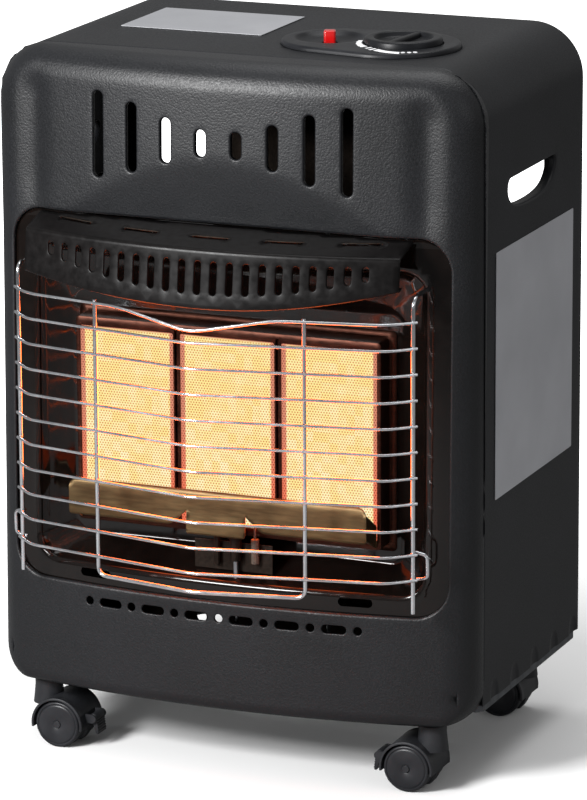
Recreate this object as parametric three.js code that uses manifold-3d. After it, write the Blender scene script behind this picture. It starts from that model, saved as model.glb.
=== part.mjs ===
// Portable propane cabinet heater on four twin-wheel castors. Millimetres, X right, Y from the front to
// the back, Z up. Everything is drawn with Y = 0 at the seam between the front cover and the wrap and
// Z = 0 at the lower edge of the wrap, and is set on the floor at the end.
import * as THREE from "three";
import { mergeVertices } from "three/addons/utils/BufferGeometryUtils.js";
import Module from "manifold-3d";

const wasm = await Module();
wasm.setup();

// Cabinet
const coverHalf = 200;
const coverStep = 0.7;
const wrapHalf = coverHalf - coverStep;
const wrapHeight = 495;
const wrapDepth = 222;
const wrapCorner = 42;
const sheet = 1.2;
const fit = 0.3;
const flangeWidth = 12;

// Front cover, a deep drawing with a bowed, slightly leaning face and an upright groove on either side of
// the slots
const coverBottom = -13;
const coverTop = wrapHeight;
const cover = {
  topCorner: 42,
  bottomCorner: 28,
  edge: 22,
  lowerShare: 0.2,
  reachAtBottom: 50.9,
  lean: 0.0189,
  bow: 6.3e-4,
  grooveInset: 38,
  grooveDepth: 2.5,
  fieldInset: 52,
  fieldShares: [0.8, 0.4],
  castorClear: 1.8,
};
const facet = { drop: 78, sink: 0.5, slope: 0.2 };
const facetTop = coverTop - facet.drop;

// Window in the front cover
const windowBox = { post: 19, bottom: 75.5, drop: 125.5, corner: 26 };
const windowHalf = coverHalf - windowBox.post;
const windowTop = coverTop - windowBox.drop;

// Upper slots, four on either side of the middle and longer towards the outside
const upperSlots = { drop: 62, pitch: 29.25, lengths: [21, 35, 54, 67], width: 8.6 };
const slotMiddle = coverTop - upperSlots.drop;

// Lower row of holes and slots
const vents = { drop: 13, pitch: 37.5, count: 7, diameter: 6.6, slotLength: 19.5 };
const ventHeight = windowBox.bottom - vents.drop;

// Enamelled pan behind the window
const pan = {
  lap: 5,
  headGap: 1,
  ledge: 21,
  sill: 16.5,
  brow: 27.5,
  mouthCorner: 18,
  mouthSink: 4,
  slope: 22,
  floorRise: 16,
  roofDrop: 36,
  backCorner: 10,
  backY: -8,
  gateSide: 9.5,
  gateSill: 13,
  gateBrow: 15,
  slotInset: 51,
  slotRise: 8.5,
  slotLength: 27,
  slotWidth: 7,
};
const mouthHalf = windowHalf - pan.ledge;
const mouthBottom = windowBox.bottom + pan.sill;
const mouthTop = windowTop - pan.brow;
const panBackHalf = mouthHalf - pan.slope;
const panBackBottom = mouthBottom + pan.floorRise;
const panBackTop = mouthTop - pan.roofDrop;
const gateHalf = panBackHalf - pan.gateSide;
const gateBottom = panBackBottom + pan.gateSill;
const gateTop = panBackTop - pan.gateBrow;

// Slotted visor over the window
const visor = {
  sideGap: 27,
  ridgeReach: 82,
  lipReach: 86,
  bow: 9.8e-4,
  rootDrop: 3,
  fall: 1.5,
  apron: 47,
  lipRise: 5.5e-4,
  slots: 21,
  slotEdge: 24.9,
  slotWidth: 5.2,
  slotDrop: 13.5,
  slotMargin: 8.2,
  ventEdge: 36,
  ventCount: 5,
  ventLength: 30,
  ventWidth: 4,
  ventReach: 60,
  rootInset: 3,
};
const visorHalf = windowHalf - visor.sideGap;
const rootHeight = windowTop - visor.rootDrop;
const ridgeHeight = rootHeight - visor.fall;
const lipHeight = ridgeHeight - visor.apron;

// Three ceramic plaques, their frame and their burner boxes
const frame = {
  gateClear: 3,
  edge: 1,
  sill: 4,
  brow: 4,
  front: -28.5,
  back: -25.5,
  corner: 3,
  wall: 0.7,
  flange: 6,
  clear: 0.4,
};
const frameHalf = gateHalf - frame.gateClear;
const frameBottom = gateBottom + frame.sill;
const frameTop = gateTop - frame.brow;
const plaque = { count: 3, division: 12, edge: 5, headEdge: 7, front: -27, thick: 12.5, corner: 1.5 };
const plaquePitch = (2 * (frameHalf - frame.edge)) / plaque.count;
const plaqueWidth = plaquePitch - plaque.division;
const plaqueBottom = frameBottom + plaque.edge;
const plaqueTop = frameTop - plaque.headEdge;
const burner = { gap: 5, edge: 4, back: 18, tube: 10, mouthHeight: 78, bell: 14 };
const burnerWidth = plaquePitch - burner.gap;
const burnerBottom = plaqueBottom - burner.edge;
const burnerTop = plaqueTop + burner.edge;

// Wire guard, eleven bowed wires on four uprights with a lower loop
const guard = {
  wire: 2.4,
  upright: 3.4,
  count: 11,
  topDrop: 5.5,
  pitch: 20,
  crest: 100,
  cornerReach: 71.5,
  sideGap: 15,
  wing: 18.5,
  overhang: 3,
  endReach: 54,
  innerClear: 3,
  loopGap: 13.5,
  dip: 11.5,
  dipShare: 0.745,
  hookRise: 18.5,
  rootReach: 22,
  bend: 6,
};
const guardEnd = windowHalf - guard.sideGap;
const guardCorner = guardEnd - guard.wing;
const guardPost = guardEnd - guard.overhang;
const guardInner = plaquePitch + guard.innerClear;
const dipHalf = guardInner * guard.dipShare;
const guardTop = lipHeight - guard.topDrop;
const loopHeight = guardTop - (guard.count - 1) * guard.pitch - guard.loopGap;
const hookHeight = guardTop + guard.hookRise;
const footHeight = mouthBottom;

// Deflector shield under the plaques
const shield = {
  endGap: 1.5,
  overlap: 34,
  height: 29,
  y: -52,
  webDrop: 9,
  tabHalf: 24.5,
  tabDrop: 5.5,
  notchWidth: 13.5,
  notchRise: 12,
};
const shieldHalf = frameHalf - shield.endGap;
const shieldTop = plaqueBottom + shield.overlap;
const shieldBottom = shieldTop - shield.height;

// Inner baffle between the burners and the back
const baffle = {
  y: 60, sideRoom: 49.3, shoulderDrop: 115, neckHalf: 48, topDrop: 25, bottom: 22, leg: 28, foot: 14,
};
const baffleHalf = wrapHalf - baffle.sideRoom;
const baffleTop = wrapHeight - baffle.topDrop;
const baffleShoulder = wrapHeight - baffle.shoulderDrop;

// Openings of the wrap
const handHole = { front: 52, backRoom: 64, topDrop: 92.5, drop: 24.5, corner: 8, rim: 9, bulgeShare: 0.62 };
const handBack = wrapDepth - handHole.backRoom;
const handTop = wrapHeight - handHole.topDrop;

// Rear panel
const rear = {
  bottom: 10,
  topDrop: 25,
  inset: 3.3,
  openSide: 28,
  openHeight: 117,
  openDrop: 15,
  openCorner: 14,
  slotRows: 4,
  slotPitch: 26,
  slotsBelow: 70,
  slotSide: 67,
  slotWidth: 9,
  screwInset: 2.5,
  screwsBelow: [61, 111, 164],
  screwRadius: 3.4,
  screwHead: 3,
};
const rearHalf = wrapHalf - rear.inset;
const rearTop = wrapHeight - rear.topDrop;
const rearOpenHalf = rearHalf - rear.openSide;
const rearOpenTop = rearTop - rear.openDrop;
const rearOpenBottom = rearOpenTop - rear.openHeight;
const rearSlotLength = rearHalf - rear.slotSide - rear.slotWidth;

// Base tray with feet room for the castors and a large air opening
const base = {
  front: 2,
  tongueFront: -25,
  bottom: -6,
  sheet: 1.5,
  wall: 26,
  corner: 8,
  openSide: 85.8,
  openFront: 26,
  openBack: 52.5,
  openCorner: 16,
};
const baseHalf = wrapHalf - sheet - fit;
const baseBack = wrapDepth - sheet - fit;
const tongueHalf = coverHalf - cover.edge;
const baseOpenHalf = baseHalf - base.openSide;

// Plates on the cabinet, left plain
const sideLabel = { margin: 24, bottom: 158.5, handGap: 50.5, thick: 0.4, corner: 1 };
const topLabel = { side: 64.3, width: 120, front: 80, depth: 88, corner: 1 };

// Control panel
const knob = {
  side: 93.3,
  y: 72,
  radius: 30,
  height: 6.2,
  lift: 4.6,
  dishRadius: 22,
  dishDepth: 4.4,
  bar: 3.2,
  turn: 7,
  boss: 7,
  bossLength: 9,
  wellClear: 0.8,
};
const knobX = wrapHalf - knob.side;
const bezel = {
  shift: 8,
  spread: 46,
  buttonRadius: 44,
  knobRadius: 52,
  height: 4,
  draft: 2.4,
  collarInset: 5,
  collarDepth: 5,
  collarWall: 2,
  plate: 2.8,
  clear: 0.6,
};
const bezelRight = knobX - bezel.shift;
const bezelLeft = bezelRight - bezel.spread;
const spindle = { radius: 3.2, length: 43, clear: 0.05 };
const spindleBottom = wrapHeight - spindle.length;
const button = {
  setBack: 3, radius: 5.6, top: 12, travel: 6, dish: 27, dishDepth: 4.2, stem: 3.4, clear: 0.4,
};
const buttonX = bezelLeft - bezel.shift;
const buttonY = knob.y + button.setBack;

// Gas valve under the knob
const valve = {
  width: 46,
  depth: 40,
  drop: 17,
  height: 40,
  drumRadius: 11,
  drumLid: 4,
  drumFloor: 10,
  drumClear: 0.06,
  portRadius: 7,
  portReach: 12,
  flangeHalf: 10,
  flangeReach: 40,
  flangeThick: 3,
  postRadius: 3,
  postReach: 36,
  pilotPort: 5,
  feedPort: 6.5,
};
const valveTop = wrapHeight - valve.drop;
const valveBottom = valveTop - valve.height;
const drumTop = valveTop - valve.drumLid;
const drumBottom = valveBottom + valve.drumFloor;

// Igniter under the button
const igniter = {
  radius: 9, length: 55, collar: 12, collarThick: 3, lead: 2.2, roomClear: 0.4, stemDrop: 17,
};
const igniterBottom = wrapHeight - igniter.length;

// Gas manifold with one injector for each burner
const manifold = {
  radius: 7,
  y: 7,
  z: 62,
  overhang: 21,
  injectorRadius: 4,
  injectorTop: 77,
  strapInset: 32,
  strapHalf: 6,
};
const manifoldHalf = plaquePitch + manifold.overhang;

// Pilot, probe and spark pin
const pilot = { x: 10, y: -37, drop: 11, radius: 4.5, length: 24, bracket: 26, foot: 21.6, hood: 6.5 };
const pilotZ = plaqueBottom - pilot.drop;
const probe = { x: -6, radius: 2.4, length: 34, tipRadius: 1.6 };
const spark = { x: 26, radius: 3.2, length: 26, pinRadius: 0.9, pinLength: 14 };

// Pipes
const pipe = { feed: 4, pilot: 2, inlet: 5, bend: 14, sides: 10, smallSides: 8 };
const inlet = { side: 81.3, z: 92, hex: 11, hexLength: 12, tail: 6.5, proud: 4, bore: 3.4 };
const inletX = wrapHalf - inlet.side;

// Tip-over switch
const tipSwitch = { side: 47.8, y: 120, width: 34, depth: 28, height: 40, corner: 4, foot: 8, footThick: 2 };
const tipSwitchX = tipSwitch.side - baseHalf;

// Castors
const castor = {
  inset: 34.8,
  frontY: -12,
  backInset: 30.5,
  floor: -66,
  wheelRadius: 19,
  wheelWidth: 13.5,
  coreHalf: 5.2,
  trail: 15,
  hoodRadius: 22,
  hoodWall: 2,
  hoodHalf: 20,
  hoodCut: 4,
  neckRadius: 11,
  neckTop: -13.5,
  stemRadius: 4,
  stemClear: 0.06,
  stemBottom: -33,
  plateRadius: 13,
  plateThick: 2.4,
  raceRadius: 10,
  axle: 3,
  axleClear: 0.07,
  tread: 2,
  sides: 20,
};
const castorX = baseHalf - castor.inset;
const castorBack = baseBack - castor.backInset;
const brake = {
  width: 15,
  knuckle: 3.6,
  rise: 5,
  gap: 0.6,
  toe: 5,
  thick: 3,
  drop: 13,
  pivot: 1.8,
  pivotClear: 0.06,
  lug: 2,
  lugSink: 1.2,
};

// Facets
const fine = 10;
const medium = 5;
const coarse = 2;
const roundSides = 24;
const closeRound = 32;
const smallRound = 16;
const weld = 1e-4;

const frontReach = guard.crest + guard.wire / 2;
const quarter = Math.PI / 2;
const full = Math.PI * 2;

function solid(geometry) {
  const bare = new THREE.BufferGeometry();
  bare.setAttribute("position", geometry.getAttribute("position").clone());
  if (geometry.index) {
    bare.setIndex(geometry.index.clone());
  }
  const joined = mergeVertices(bare, weld);
  const vertProperties = new Float32Array(joined.getAttribute("position").array);
  const kept = [];
  const order = joined.index.array;
  for (let i = 0; i < order.length; i += 3) {
    if (order[i] !== order[i + 1] && order[i + 1] !== order[i + 2] && order[i + 2] !== order[i]) {
      kept.push(order[i], order[i + 1], order[i + 2]);
    }
  }
  return new wasm.Manifold(new wasm.Mesh({ numProp: 3, vertProperties, triVerts: new Uint32Array(kept) }));
}

function join(pieces) {
  return pieces.reduce((sum, piece) => sum.add(piece));
}

function cut(body, tools) {
  return tools.reduce((left, tool) => left.subtract(tool), body);
}

function geometryOf(body) {
  const mesh = body.getMesh();
  const geometry = new THREE.BufferGeometry();
  const points = new Float32Array(mesh.numVert * 3);
  for (let i = 0; i < mesh.numVert; i += 1) {
    for (let k = 0; k < 3; k += 1) {
      points[i * 3 + k] = mesh.vertProperties[i * mesh.numProp + k];
    }
  }
  geometry.setAttribute("position", new THREE.BufferAttribute(points, 3));
  geometry.setIndex(new THREE.BufferAttribute(new Uint32Array(mesh.triVerts), 1));
  return geometry;
}

// Outlines
function roundedBox(x0, y0, x1, y1, radius) {
  const shape = new THREE.Shape();
  shape.absarc(x1 - radius, y0 + radius, radius, -quarter, 0);
  shape.absarc(x1 - radius, y1 - radius, radius, 0, quarter);
  shape.absarc(x0 + radius, y1 - radius, radius, quarter, 2 * quarter);
  shape.absarc(x0 + radius, y0 + radius, radius, 2 * quarter, 3 * quarter);
  shape.closePath();
  return shape;
}

function disc(x, y, radius) {
  const shape = new THREE.Shape();
  shape.absarc(x, y, radius, 0, full);
  return shape;
}

function stadium(x, y, length, width, upright) {
  const radius = width / 2;
  const half = (length - width) / 2;
  const shape = new THREE.Shape();
  if (upright) {
    shape.absarc(x, y + half, radius, 0, 2 * quarter);
    shape.absarc(x, y - half, radius, 2 * quarter, full);
  } else {
    shape.absarc(x + half, y, radius, -quarter, quarter);
    shape.absarc(x - half, y, radius, quarter, 3 * quarter);
  }
  shape.closePath();
  return shape;
}

function polygon(points) {
  return new THREE.Shape(points.map(([x, y]) => new THREE.Vector2(x, y)));
}

// Prisms: an outline in XY raised in Z, one in XZ run in Y, one in YZ run in X
function raised(shape, from, to, segments = coarse) {
  const options = { depth: to - from, bevelEnabled: false, curveSegments: segments };
  const geometry = new THREE.ExtrudeGeometry(shape, options);
  return solid(geometry.translate(0, 0, from));
}

function runY(shape, from, to, segments = coarse) {
  const options = { depth: to - from, bevelEnabled: false, curveSegments: segments };
  const geometry = new THREE.ExtrudeGeometry(shape, options);
  return solid(geometry.rotateX(quarter).translate(0, to, 0));
}

const toX = new THREE.Matrix4().makeBasis(
  new THREE.Vector3(0, 1, 0),
  new THREE.Vector3(0, 0, 1),
  new THREE.Vector3(1, 0, 0),
);
function runX(shape, from, to, segments = coarse) {
  const options = { depth: to - from, bevelEnabled: false, curveSegments: segments };
  const geometry = new THREE.ExtrudeGeometry(shape, options);
  return solid(geometry.applyMatrix4(toX).translate(from, 0, 0));
}

function block(x0, y0, z0, x1, y1, z1) {
  const geometry = new THREE.BoxGeometry(x1 - x0, y1 - y0, z1 - z0);
  return solid(geometry.translate((x0 + x1) / 2, (y0 + y1) / 2, (z0 + z1) / 2));
}

// Turned solid about an upright axis through x, y; the profile is a list of [radius, height]
function turned(profile, x, y, sides = roundSides) {
  const points = profile.map(([r, z]) => new THREE.Vector2(r, z));
  return solid(new THREE.LatheGeometry(points, sides).rotateX(quarter).translate(x, y, 0));
}

function rod(radius, from, to, x, y, sides = roundSides) {
  return turned([[0, from], [radius, from], [radius, to], [0, to]], x, y, sides);
}

const triangleTurn = (a, b, c) => Math.sign((b.x - a.x) * (c.y - a.y) - (c.x - a.x) * (b.y - a.y));

// Skin through rings of equal length, every quad split along its shorter diagonal, closed at both ends: by
// a fan round the middle, or for hooked rings by ears
function loft(rings, hooked = false) {
  const count = rings[0].length;
  const points = rings.flat();
  const index = [];
  for (let r = 0; r + 1 < rings.length; r += 1) {
    for (let i = 0; i < count; i += 1) {
      const a = r * count + i;
      const b = r * count + ((i + 1) % count);
      if (points[a].distanceTo(points[b + count]) < points[b].distanceTo(points[a + count]) + weld) {
        index.push(a, b, b + count, a, b + count, a + count);
      } else {
        index.push(a, b, a + count, b, b + count, a + count);
      }
    }
  }
  const last = (rings.length - 1) * count;
  if (hooked) {
    const outline = rings[0].map((p) => new THREE.Vector2(p.y, p.z));
    const turn = THREE.ShapeUtils.isClockWise(outline) ? -1 : 1;
    for (const [a, b, c] of THREE.ShapeUtils.triangulateShape(outline, [])) {
      const ears = turn * triangleTurn(outline[a], outline[b], outline[c]) > 0 ? [c, b, a] : [a, b, c];
      index.push(...ears, ...ears.map((k) => last + k).reverse());
    }
  } else {
    for (const [ring, start] of [[rings[0], 0], [rings[rings.length - 1], last]]) {
      const middle = ring.reduce((sum, p) => sum.add(p), new THREE.Vector3()).divideScalar(count);
      const hub = points.push(middle) - 1;
      for (let i = 0; i < count; i += 1) {
        const a = start + i;
        const b = start + ((i + 1) % count);
        index.push(...(start === 0 ? [b, a, hub] : [a, b, hub]));
      }
    }
  }
  const geometry = new THREE.BufferGeometry().setFromPoints(points);
  geometry.setIndex(index);
  return solid(geometry);
}

// Wire or pipe of round section along a path, its rings square to the bisector at every point
function swept(path, radius, sides) {
  const rings = [];
  let side = new THREE.Vector3();
  path.forEach((point, i) => {
    const before = path[Math.max(i - 1, 0)];
    const after = path[Math.min(i + 1, path.length - 1)];
    const along = after.clone().sub(before).normalize();
    if (i === 0) {
      side = Math.abs(along.z) > Math.SQRT1_2 ? new THREE.Vector3(1, 0, 0) : new THREE.Vector3(0, 0, 1);
    }
    side = side.clone().addScaledVector(along, -side.dot(along)).normalize();
    const third = along.clone().cross(side);
    const ring = [];
    for (let k = 0; k < sides; k += 1) {
      const angle = (k / sides) * full;
      ring.push(
        point
          .clone()
          .addScaledVector(side, radius * Math.cos(angle))
          .addScaledVector(third, radius * Math.sin(angle)),
      );
    }
    rings.push(ring);
  });
  const points = rings.flat().flatMap((p) => [p.x, p.y, p.z]);
  const index = [];
  for (let r = 0; r + 1 < rings.length; r += 1) {
    for (let i = 0; i < sides; i += 1) {
      const a = r * sides + i;
      const b = r * sides + ((i + 1) % sides);
      index.push(a, b, b + sides, a, b + sides, a + sides);
    }
  }
  const end = (rings.length - 1) * sides;
  for (let k = 1; k + 1 < sides; k += 1) {
    index.push(0, k + 1, k, end, end + k, end + k + 1);
  }
  const geometry = new THREE.BufferGeometry();
  geometry.setAttribute("position", new THREE.Float32BufferAttribute(points, 3));
  geometry.setIndex(index);
  return solid(geometry);
}

// Path through corner points with every inner corner rounded
function bent(corners, radius, steps = 3) {
  const path = [corners[0]];
  for (let i = 1; i + 1 < corners.length; i += 1) {
    const toBefore = corners[i - 1].clone().sub(corners[i]);
    const toAfter = corners[i + 1].clone().sub(corners[i]);
    const angle = toBefore.angleTo(toAfter);
    const reach = radius / Math.tan(angle / 2);
    const start = corners[i].clone().addScaledVector(toBefore.normalize(), reach);
    const end = corners[i].clone().addScaledVector(toAfter.normalize(), reach);
    for (let k = 0; k <= steps; k += 1) {
      const t = k / steps;
      path.push(
        start
          .clone()
          .multiplyScalar((1 - t) ** 2)
          .addScaledVector(corners[i], 2 * t * (1 - t))
          .addScaledVector(end, t ** 2),
      );
    }
  }
  path.push(corners[corners.length - 1]);
  return path;
}

const vec = (x, y, z) => new THREE.Vector3(x, y, z);

// Ring of a rounded rectangle in XZ: corners by arcs, the level sides split so that the bow can follow them
function frontRing(half, bottom, top, lowCorner, highCorner, depthAt, splits = 6, arcs = 3) {
  const points = [];
  const arc = (cx, cz, radius, start) => {
    for (let i = 0; i <= arcs; i += 1) {
      const angle = start + (i / arcs) * quarter;
      points.push([cx + radius * Math.cos(angle), cz + radius * Math.sin(angle)]);
    }
  };
  const line = (x0, z0, x1, z1) => {
    for (let i = 1; i < splits; i += 1) {
      points.push([x0 + ((x1 - x0) * i) / splits, z0 + ((z1 - z0) * i) / splits]);
    }
  };
  arc(half - highCorner, top - highCorner, highCorner, 0);
  line(half - highCorner, top, highCorner - half, top);
  arc(highCorner - half, top - highCorner, highCorner, quarter);
  arc(lowCorner - half, bottom + lowCorner, lowCorner, 2 * quarter);
  line(lowCorner - half, bottom, half - lowCorner, bottom);
  arc(half - lowCorner, bottom + lowCorner, lowCorner, 3 * quarter);
  return points.map(([x, z]) => vec(x, depthAt(x, z), z));
}

// Distance of the cover's face ahead of the seam
function reachAt(x, z) {
  return cover.reachAtBottom - cover.lean * (z - coverBottom) - cover.bow * x * x;
}

// Share of the groove's depth that is pressed at a point: none beside the window and towards the middle,
// all of it beside the slots
function grooveShare(x, z) {
  const longest = Math.max(...upperSlots.lengths);
  const up = THREE.MathUtils.smoothstep(z, windowTop, slotMiddle - longest / 2);
  const side = THREE.MathUtils.smoothstep(
    Math.abs(x),
    coverHalf - cover.fieldInset,
    coverHalf - cover.grooveInset,
  );
  return up * side;
}

// The flat facet pressed over the window, on the face side of the sheet
function facetY(z) {
  return facet.sink + facet.slope * (facetTop - z) - reachAt(0, facetTop);
}

function coverBody(inner) {
  const skin = inner ? sheet : 0;
  const steps = 3;
  const ring = (inset, depthAt) =>
    frontRing(
      coverHalf - inset,
      coverBottom + skin + (inset - skin) * cover.lowerShare,
      coverTop - inset,
      Math.max(cover.bottomCorner - inset, sheet),
      Math.max(cover.topCorner - inset, sheet),
      depthAt,
    );
  const rings = [ring(skin, () => (inner ? sheet : 0))];
  const edge = cover.edge - skin;
  for (let i = 0; i <= steps; i += 1) {
    const angle = (i / steps) * quarter;
    rings.push(
      ring(
        skin + edge * (1 - Math.cos(angle)),
        (x, z) => -(reachAt(x, z) - skin - edge * (1 - Math.sin(angle))),
      ),
    );
  }
  rings.push(ring(cover.grooveInset, (x, z) => skin + cover.grooveDepth * grooveShare(x, z) - reachAt(x, z)));
  const field = (x, z) => skin - reachAt(x, z);
  const border = ring(cover.fieldInset, field);
  const middle = (border[0].z + border[border.length - 1].z) / 2;
  rings.push(border);
  for (const share of cover.fieldShares) {
    rings.push(
      border.map((p) => {
        const x = p.x * share;
        const z = middle + (p.z - middle) * share;
        return vec(x, field(x, z), z);
      }),
    );
  }
  return loft(rings);
}

function facetTool(skin) {
  const far = -3 * cover.reachAtBottom;
  const low = windowTop - sheet;
  return runX(
    polygon([
      [far, low],
      [facetY(low) + skin, low],
      [facetY(facetTop) + skin, facetTop],
      [far, facetTop - (far - facetY(facetTop)) * facet.slope],
    ]),
    -coverHalf,
    coverHalf,
  );
}

function frontCover() {
  const shell = coverBody(false).subtract(facetTool(0)).subtract(coverBody(true).subtract(facetTool(sheet)));
  const far = -2 * cover.reachAtBottom;
  const tools = [
    runY(
      roundedBox(-windowHalf, windowBox.bottom, windowHalf, windowTop, windowBox.corner),
      far,
      fit,
      coarse,
    ),
  ];
  upperSlots.lengths.forEach((length, i) => {
    for (const sign of [-1, 1]) {
      const x = sign * upperSlots.pitch * (i + 0.5);
      tools.push(runY(stadium(x, slotMiddle, length, upperSlots.width, true), far, fit, coarse));
    }
  });
  const first = (-vents.pitch * (vents.count - 1)) / 2;
  for (let i = 0; i < vents.count; i += 1) {
    tools.push(runY(disc(first + i * vents.pitch, ventHeight, vents.diameter / 2), far, fit, medium));
    if (i + 1 < vents.count) {
      tools.push(
        runY(
          stadium(first + (i + 0.5) * vents.pitch, ventHeight, vents.slotLength, vents.diameter, false),
          far,
          fit,
          coarse,
        ),
      );
    }
  }
  for (const sign of [-1, 1]) {
    tools.push(
      rod(
        castor.raceRadius + cover.castorClear, 2 * coverBottom, base.bottom,
        sign * castorX, castor.frontY, smallRound,
      ),
    );
  }
  return cut(shell, tools);
}

// Wrap: top and both sides from one sheet, with turned-in rims at the hand holes and a turned-in back edge
function wrapOutline(inset, bottom) {
  const half = wrapHalf - inset;
  const top = wrapHeight - inset;
  const corner = wrapCorner - inset;
  const shape = new THREE.Shape();
  shape.moveTo(-half, bottom);
  shape.lineTo(half, bottom);
  shape.absarc(half - corner, top - corner, corner, 0, quarter);
  shape.absarc(corner - half, top - corner, corner, quarter, 2 * quarter);
  shape.closePath();
  return shape;
}

function handOutline(grow) {
  const front = handHole.front - grow;
  const back = handBack + grow;
  const top = handTop + grow;
  const low = handTop - handHole.drop - grow;
  const corner = handHole.corner + grow;
  const shape = new THREE.Shape();
  shape.moveTo(front, top - corner);
  shape.quadraticCurveTo(front, top, front + corner, top);
  shape.lineTo(back - corner / 2, top);
  shape.quadraticCurveTo(back, top, back, top - corner / 2);
  const middle = (front + back) / 2;
  const pull = (back - front) * (handHole.bulgeShare / 2);
  shape.bezierCurveTo(back - corner / 2, low + corner / 2, middle + pull, low, middle, low);
  shape.bezierCurveTo(middle - pull, low, front + corner / 4, low + corner / 2, front, top - corner);
  return shape;
}

function wrap() {
  const front = fit;
  const outer = runY(wrapOutline(0, 0), front, wrapDepth, medium);
  const inner = runY(wrapOutline(sheet, -sheet), front - sheet, wrapDepth - sheet, medium);
  const mouth = runY(wrapOutline(flangeWidth, -sheet), wrapDepth / 2, wrapDepth + sheet, medium);
  const body = outer.subtract(inner).subtract(mouth);
  const rims = [];
  const holes = [];
  for (const sign of [-1, 1]) {
    const inside = sign > 0 ? wrapHalf - handHole.rim : -wrapHalf;
    rims.push(runX(handOutline(sheet), inside, inside + handHole.rim, coarse));
    holes.push(runX(handOutline(0), inside - sheet, inside + handHole.rim + sheet, coarse));
  }
  const collar = bezelOutline(bezel.collarInset - bezel.clear);
  const opening = raised(collar, wrapHeight - 2 * sheet, wrapHeight + sheet, fine);
  return cut(join([body, ...rims]), [...holes, opening]);
}

// Outline of the control panel: two circles of unlike size and their common tangents
function bezelPoints(inset, segments = 10) {
  const small = bezel.buttonRadius - inset;
  const large = bezel.knobRadius - inset;
  const tangent = Math.acos((small - large) / (bezelRight - bezelLeft));
  const points = [];
  for (let i = 0; i <= segments; i += 1) {
    const angle = -tangent + (2 * tangent * i) / segments;
    points.push([bezelRight + large * Math.cos(angle), knob.y + large * Math.sin(angle)]);
  }
  for (let i = 0; i <= segments; i += 1) {
    const angle = tangent + ((full - 2 * tangent) * i) / segments;
    points.push([bezelLeft + small * Math.cos(angle), knob.y + small * Math.sin(angle)]);
  }
  return points;
}

function bezelOutline(inset) {
  return polygon(bezelPoints(inset));
}

// Levels of the control panel: its top, the underside of its plate, the floor of the button dish and that
// of the well
const bezelTop = wrapHeight + bezel.height;
const bezelUnder = bezelTop - bezel.plate;
const dishFloor = bezelTop - button.dishDepth;
const wellFloor = wrapHeight + knob.lift - knob.height;

function bezelBody() {
  const low = wrapHeight + fit;
  const high = bezelTop;
  const plate = loft([
    bezelPoints(0).map(([x, y]) => vec(x, y, low)),
    bezelPoints(bezel.draft / 3).map(([x, y]) => vec(x, y, (low + high) / 2)),
    bezelPoints(bezel.draft).map(([x, y]) => vec(x, y, high)),
  ]);
  const collar = raised(bezelOutline(bezel.collarInset), low - bezel.collarDepth - sheet, low + sheet);
  const roomOutline = bezelOutline(bezel.collarInset + bezel.collarWall);
  const room = raised(roomOutline, low - 2 * bezel.collarDepth, bezelUnder);
  const dishTop = high + sheet;
  const floor = dishFloor;
  const cupRadius = button.dish + bezel.collarWall / 2;
  const cup = rod(cupRadius, floor - bezel.collarWall, high - sheet, buttonX, buttonY);
  const cupRoom = turned(
    [
      [0, floor], [button.dish - button.dishDepth / 2, floor], [button.dish, high],
      [button.dish, dishTop], [0, dishTop],
    ],
    buttonX,
    buttonY,
  );
  const boreFoot = floor - 2 * bezel.collarWall;
  const buttonBore = rod(button.radius + button.clear, boreFoot, dishTop, buttonX, buttonY);
  const well = rod(knob.radius + knob.wellClear, wellFloor, dishTop, knobX, knob.y);
  const wellCup = rod(
    knob.radius + knob.wellClear + bezel.collarWall / 2,
    wellFloor - bezel.collarWall,
    high - sheet,
    knobX,
    knob.y,
  );
  const bossBore = rod(knob.boss + knob.wellClear, wellFloor - 3 * bezel.collarWall, dishTop, knobX, knob.y);
  const hollow = join([plate, collar]).subtract(room);
  return cut(join([hollow, cup, wellCup]), [cupRoom, buttonBore, well, bossBore]);
}

function knobBody() {
  const top = wrapHeight + knob.lift + knob.height - bezel.height / 2;
  const low = top - knob.height;
  const floor = top - knob.dishDepth;
  const chamfer = knob.dishDepth / 4;
  const disk = turned(
    [
      [0, low],
      [knob.radius, low],
      [knob.radius, top - chamfer],
      [knob.radius - chamfer, top],
      [knob.dishRadius + chamfer, top],
      [knob.dishRadius, floor],
      [0, floor],
    ],
    knobX,
    knob.y,
  );
  const boss = rod(knob.boss, low - knob.bossLength, low + chamfer, knobX, knob.y, smallRound);
  const bore = rod(spindle.radius + spindle.clear, low - 2 * knob.bossLength, low - chamfer, knobX, knob.y);
  const bar = solid(
    new THREE.BoxGeometry(2 * knob.bar, 2 * knob.dishRadius, knob.dishDepth)
      .rotateZ(-THREE.MathUtils.degToRad(knob.turn))
      .translate(knobX, knob.y, floor + knob.dishDepth / 2 - chamfer),
  );
  return join([disk, boss, bar]).subtract(bore);
}

const knobLow = wrapHeight + knob.lift - bezel.height / 2;
const spindleTop = knobLow - knob.dishDepth / 4 - fit;

function spindleBody() {
  return rod(spindle.radius, spindleBottom, spindleTop, knobX, knob.y);
}

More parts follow.
